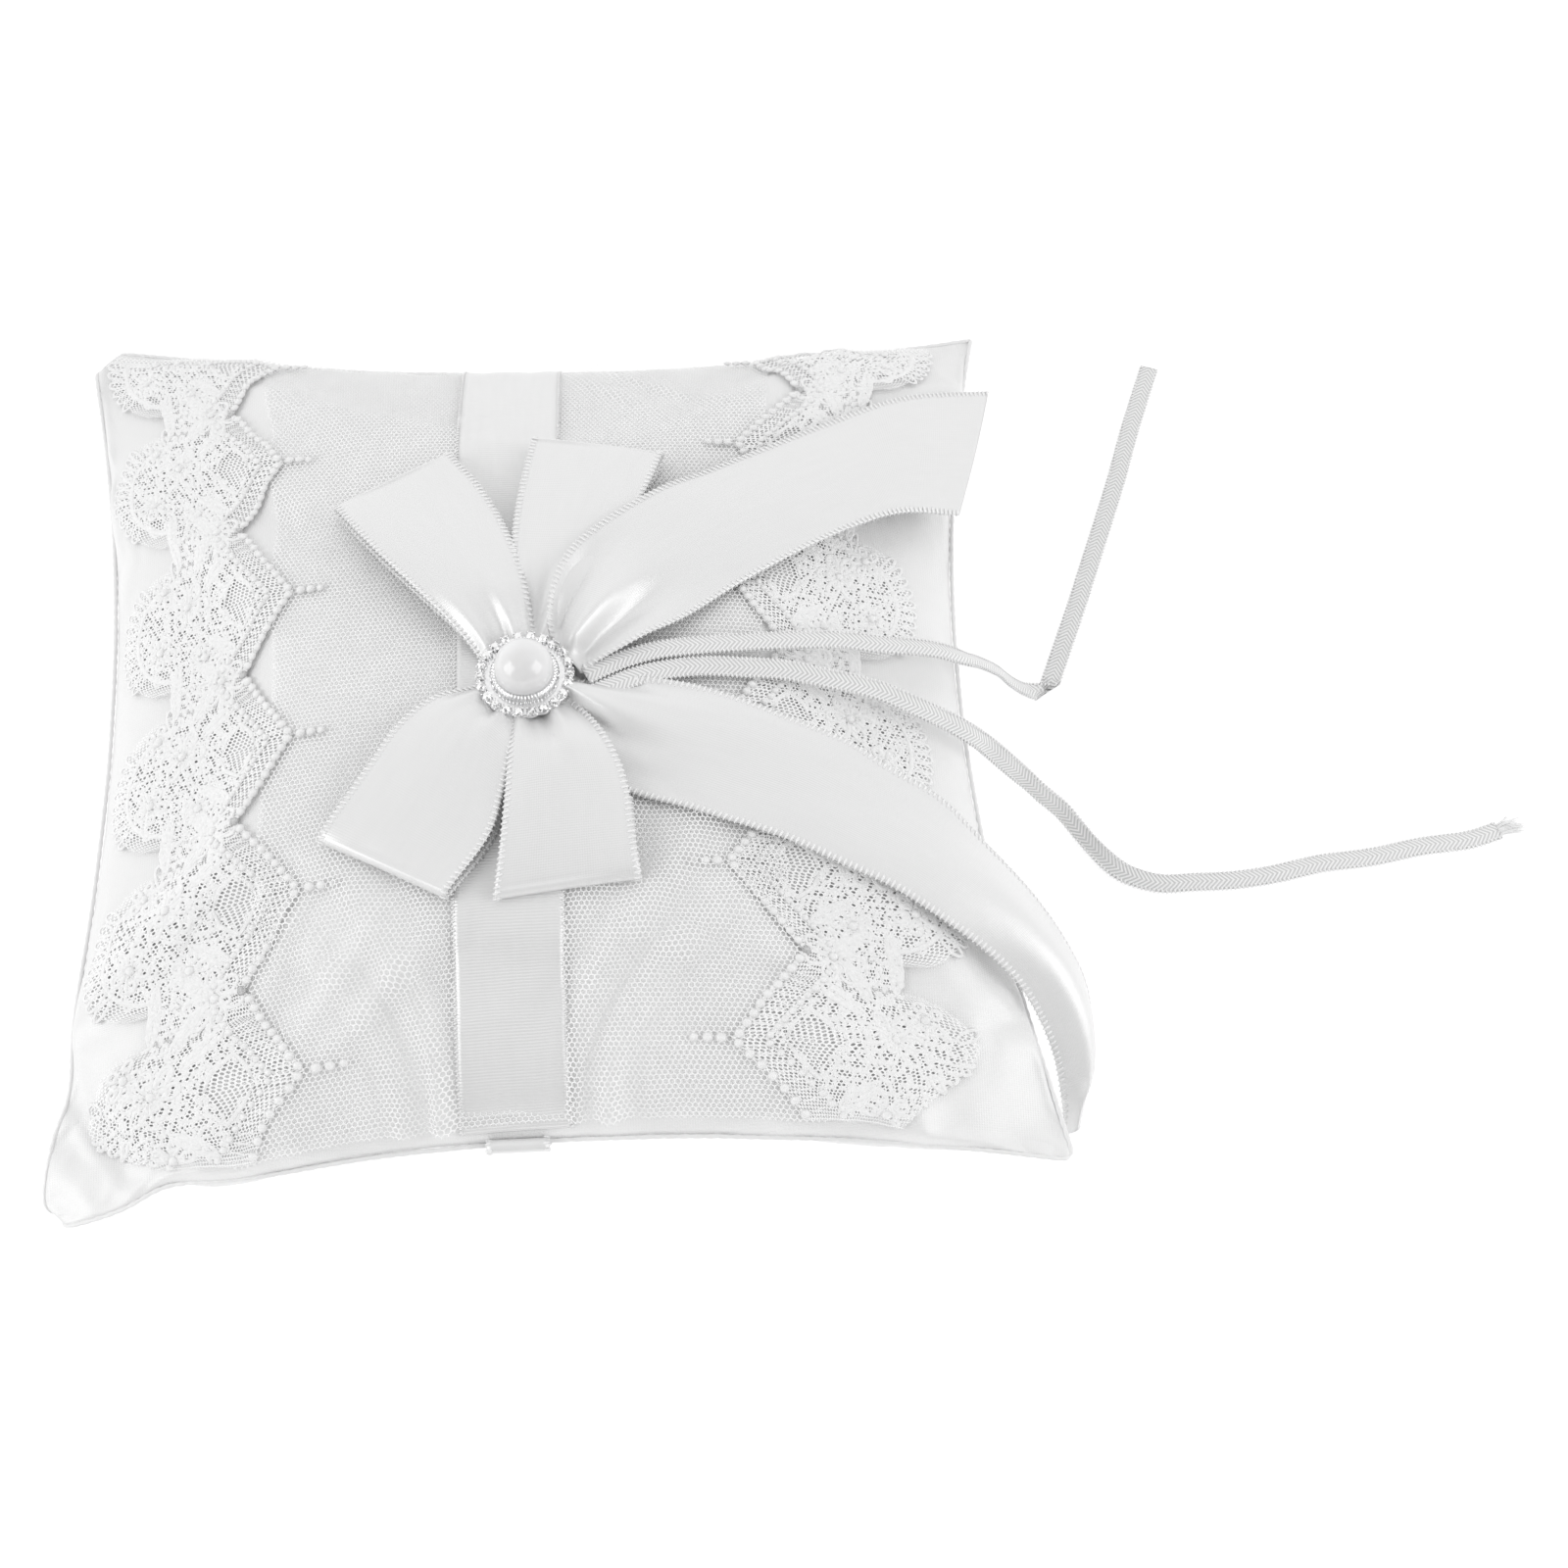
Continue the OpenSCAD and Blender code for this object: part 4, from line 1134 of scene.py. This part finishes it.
def make_stones(glass, silver):
    """Round brilliants, each between four claws."""
    points, faces, claws = [], [], Threads()
    sides, radius = 8, 1.08 * MM
    girdle, table, high = 0.55 * MM, 0.62 * MM, 1.25 * MM
    for i in range(STONE_COUNT):
        a = 2 * math.pi * i / STONE_COUNT
        centre = np.array([BROOCH[0] + STONE_RING * math.cos(a), BROOCH[1] + STONE_RING * math.sin(a),
                           PLATE_TOP])
        start = len(points)
        turn = a + np.arange(sides) * 2 * math.pi / sides
        half = turn + math.pi / sides
        for r, z, angles in ((radius * 0.75, 0, turn), (radius, girdle, turn),
                             ((radius + table) / 2 * 1.04, (girdle + high) / 2, half),
                             (table, high, turn)):
            points += [centre + (r * math.cos(t), r * math.sin(t), z) for t in angles]
        ring = [list(range(start + k * sides, start + (k + 1) * sides)) for k in range(4)]
        faces += [[ring[0][k], ring[0][(k + 1) % sides], ring[1][(k + 1) % sides], ring[1][k]]
                  for k in range(sides)]
        for k in range(sides):
            after, before = (k + 1) % sides, (k - 1) % sides
            faces += [[ring[1][k], ring[1][after], ring[2][k]],
                      [ring[1][k], ring[2][k], ring[3][k], ring[2][before]],
                      [ring[3][k], ring[2][k], ring[3][after]]]
        faces += [ring[3], ring[0][::-1]]
        for quarter in range(4):
            t = a + math.pi / 4 + quarter * math.pi / 2
            foot = centre + np.array([math.cos(t), math.sin(t), 0]) * radius * 1.04
            rise = np.array([[0, 0, 0.05], [0, 0, 0.6], [-0.1 * math.cos(t), -0.1 * math.sin(t), 1.0],
                             [-0.4 * math.cos(t), -0.4 * math.sin(t), 1.15]]) * MM
            claws.tube(foot + rise, np.array([-math.sin(t), math.cos(t), 0.0]), 0.36 * MM, 0.36 * MM)
    stones = add_mesh("brooch_stones", np.array(points), faces, glass, smooth=False)
    place(stones, "rhinestone", "rhinestones", body="brooch")
    place(claws.build("brooch_claws", silver), "silver_metal", body="brooch")


def make_pearl_ball(nacre):
    """A ball with its foot cut flat, seated inside the milled rim."""
    radius, low, high = (PEARL_HIGH[0] - PEARL_LOW[0]) / 2, PEARL_LOW[2], PEARL_HIGH[2]
    centre = high - radius
    foot = math.asin((low - centre) / radius)
    outline = [(radius * math.cos(a), centre + radius * math.sin(a))
               for a in np.linspace(foot, math.pi / 2, 44)]
    outline[-1] = (0.01 * MM, high)
    place(lathe("brooch_pearl", outline, nacre, 96), "pearl", "pearl", body="brooch")


def make_anchor_thread(cotton):
    turn = np.linspace(0, 2 * math.pi * 4, 160)
    low = KNOT_HIGH[2] + 0.12 * MM
    radius = 2.55 * MM + 0.12 * MM * np.sin(turn / 4 * 3)
    z = low + (PLATE_LOW - low - 0.15 * MM) * np.linspace(0, 1, len(turn))
    line = np.stack([BROOCH[0] + radius * np.cos(turn), BROOCH[1] + radius * np.sin(turn), z], axis=1)
    threads = Threads()
    threads.tube(line, np.array([0, 0, 1.0]), 0.3 * MM, 0.3 * MM)
    place(threads.build("brooch_sewing_thread", cotton), "thread", "anchor_thread")


# ---- Ring ties and hand strap --------------------------------------------------------------------

def tie_frames(route, rolls, spacing=0.9 * MM):
    """Centreline, side and up of a flat ribbon, with its roll angle chosen along the route."""
    line = even_curve(route, spacing)
    tangent = unit(np.gradient(line, axis=0))
    side = unit(np.cross(tangent, (0, 0, 1.0)))
    up = np.cross(side, tangent)
    run = np.linspace(0, 1, len(line))
    roll = np.radians(np.interp(run, *zip(*rolls)))[:, None]
    return line, side * np.cos(roll) + up * np.sin(roll), up * np.cos(roll) - side * np.sin(roll)


def press_fold(before, after):
    """Joins two stretches of ribbon at a pressed fold, where the ribbon turns its other face up."""
    (line_a, side_a, up_a), (line_b, side_b, up_b) = before, after
    corner = (line_a[-1] + line_b[0]) / 2
    heading_a, heading_b = unit(line_a[-1] - line_a[-3]), unit(line_b[2] - line_b[0])
    crease = unit(heading_a + heading_b)
    half = math.acos(np.clip(np.dot(heading_a, heading_b), -1, 1)) / 2
    crease = crease * np.sign(np.dot(crease, side_a[-1]) or 1) / max(math.sin(half), 0.4)
    keep_a, keep_b = slice(0, -4), slice(4, None)
    return (np.concatenate([line_a[keep_a], [corner], line_b[keep_b] + (0, 0, 0.4 * MM)]),
            np.concatenate([side_a[keep_a], [crease], -side_b[keep_b]]),
            np.concatenate([up_a[keep_a], [up_a[-1]], up_b[keep_b]]))


def make_tie(name, node, line, side, up, satin, thread):
    s = np.linspace(-0.5, 0.5, 9)
    cup = (1 - (2 * s) ** 2) * 0.12 * MM
    grid = line[:, None] + side[:, None] * (s * TIE_WIDTH)[None, :, None] + up[:, None] * cup[None, :, None]
    grid[..., 2] = np.maximum(grid[..., 2], 0.5 * MM)
    tie = add_cloth(name, grid, satin, TIE_THICKNESS * 0.7)
    threads = Threads()
    for column, step in ((0, 1), (-1, -2)):
        inward = grid[:, step] - grid[:, column]
        for face in (1, -1):
            stitched_edge(threads, grid[:, column], inward, up * face, pitch=0.9 * MM, reach=0.6 * MM,
                          width=0.42 * MM)
    edging = threads.build(name + "_edging", thread)
    place(tie, "tie_satin", node)
    place(edging, "tie_satin")


def make_tuft(thread):
    """Frayed threads at the free end of the lower tie."""
    end = np.array(TIE_LOWER_ROUTE[-1]) * MM
    heading = unit(end - np.array(TIE_LOWER_ROUTE[-2]) * MM)
    side = np.cross(heading, (0, 0, 1.0))
    threads = Threads()
    t = np.linspace(0, 1, 8)[:, None]
    for k in range(26):
        share = (k / 25 - 0.5)
        wild = math.sin(k * 12.9898) * 43758.5453 % 1
        fan = side * (share * (2.6 + 1.8 * t ** 1.5) * MM) + side * ((wild - 0.5) * 1.4 * MM * t ** 2)
        reach = (4.0 + 2.4 * wild) * MM
        line = end - heading * 0.4 * MM + heading * reach * t + fan
        line[:, 2] += (np.sin(t[:, 0] * math.pi) * (0.2 + 0.9 * (k * 0.37 % 1))) * MM - t[:, 0] * 0.2 * MM
        threads.tube(line, np.array([0, 0, 1.0]), 0.30 * MM, 0.26 * MM, sides=5)
    tuft = threads.build("tie_frayed_end", thread)
    return place(tuft, "tie_satin", "tie_end_tuft")


def make_ties(satin, thread):
    fold_at = (108.5, 11.5, 1)
    down = tie_frames(TIE_UPPER_ROUTE[:18] + [fold_at], [(0, 0), (1, 0)])
    away = tie_frames([fold_at] + TIE_UPPER_ROUTE[22:], [(0, 0), (1, 0)])
    line, side, up = press_fold(down, away)
    make_tie("tie_upper", "tie_ribbon_upper", line, side, up, satin, thread)
    tuft = make_tuft(thread)
    lower_rolls = [(0, 0), (0.15, -20), (0.3, -10), (0.42, -35), (0.5, -62),
                   (0.56, -50), (0.62, -12), (0.68, 0), (1, 0)]
    line, side, up = tie_frames(TIE_LOWER_ROUTE, lower_rolls)
    make_tie("tie_lower", "tie_ribbon_lower", line, side, up, satin, thread)


def make_hand_strap(satin, thread):
    """Sewn into both seams, arched at the far one, flat under the pillow, and folded at the near one."""
    reach = PILLOW_HALF - EDGE_DIP
    a = np.linspace(math.pi / 2 * 0.97, -math.pi / 2 * 0.97, 170)
    y = np.sin(a) * (reach + 0.6 * MM)
    z = np.maximum(0.3 * MM, SEAM_HEIGHT - (BACK_DEPTH + 0.6 * MM) * np.cos(a))
    far = smooth_step(y, 0.8 * reach, reach)
    y = y + far * 2.6 * MM * np.cos((z / SEAM_HEIGHT - 0.5) * math.pi)
    near = smooth_step(-y, 0.75 * reach, reach)
    y = y - near * (EDGE_DIP - NEAR_DIP + 0.4 * MM)
    roll = np.linspace(-0.35, 1.5, 16) * math.pi
    z = z + 1.2 * MM * smooth_step(-y, 0.97 * reach, reach) * (z > 2 * MM)
    y = np.concatenate([y, y[-1] - 0.5 * MM + 1.25 * MM * np.sin(-roll)])
    z = np.concatenate([z, z[-1] + 0.6 * MM + 1.25 * MM * np.cos(roll) * 0.8])
    x = -2 * MM - 4.5 * MM * smooth_step(-y, 0.6 * reach, reach)
    s = np.linspace(-0.5, 0.5, 13)
    grid = np.stack([x[:, None] + s[None, :] * STRAP_WIDTH, y[:, None] + 0 * s[None, :],
                     z[:, None] + 0 * s[None, :]], axis=-1)
    normal = unit(np.cross(np.gradient(grid, axis=1), np.gradient(grid, axis=0)))
    strap = add_cloth("hand_strap_ribbon", grid, satin, 0.3 * MM)
    threads = Threads()
    for side, step in ((0, 1), (-1, -2)):
        for face in (1, -1):
            stitched_edge(threads, grid[2:-2, side], (grid[:, step] - grid[:, side])[2:-2],
                          normal[2:-2, side] * face, pitch=1.3 * MM, reach=1.0 * MM)
    edging = threads.build("hand_strap_edging", thread)
    for vertex in edging.data.vertices:
        vertex.co.z = max(vertex.co.z, 0.05 * MM)
    place(strap, "satin_ribbon", "hand_strap")
    place(edging, "thread")


# ---- The object ----------------------------------------------------------------------------------

make_camera()
make_studio()
make_floor()

cover_satin = make_cover_satin()
bow_satin = make_ribbon_satin("bow_satin", 0.82, 0.835, 0.5 * MM, 0.035 * MM, rough=0.35)
band_satin = make_ribbon_satin("band_satin", 0.82, 0.84, 0.62 * MM, 0.05 * MM, rough=0.32, rib_share=0.95)
tie_satin = make_tie_satin()
edge_thread = make_thread("edge_thread", 0.95, 1800, 0.5)
lace_thread = make_thread("lace_thread", 0.92, 1500)
sewing_cotton = make_thread("sewing_cotton", 0.85, 2400)
tulle_net = make_net("tulle", 1.1 * MM, 0.14, 0.98)
lace_net = make_net("lace_net", 0.9 * MM, 0.24, 0.98)
silver = make_silver()

make_ties(tie_satin, edge_thread)
front = make_pillow(cover_satin)
make_tulle(front, tulle_net)
make_centre_band(front, band_satin, edge_thread)
make_lace("left", LACE_LEFT_OUTER, front, lace_net, lace_thread)
make_lace("right", LACE_RIGHT_OUTER, front, lace_net, lace_thread)
for loop in BOW_LOOPS:
    make_bow_loop(loop, front, bow_satin, edge_thread)
make_tail("bow_tail_upper", TAIL_UPPER, front, bow_satin, edge_thread, upper_tail_shape)
make_tail("bow_tail_lower", TAIL_LOWER, front, bow_satin, edge_thread, lower_tail_shape)
make_knot(bow_satin)
make_anchor_thread(sewing_cotton)
make_shank(silver)
make_base(silver)
make_bezel(silver)
make_stones(make_rhinestone(), silver)
make_pearl_ball(make_pearl())
make_hand_strap(bow_satin, edge_thread)
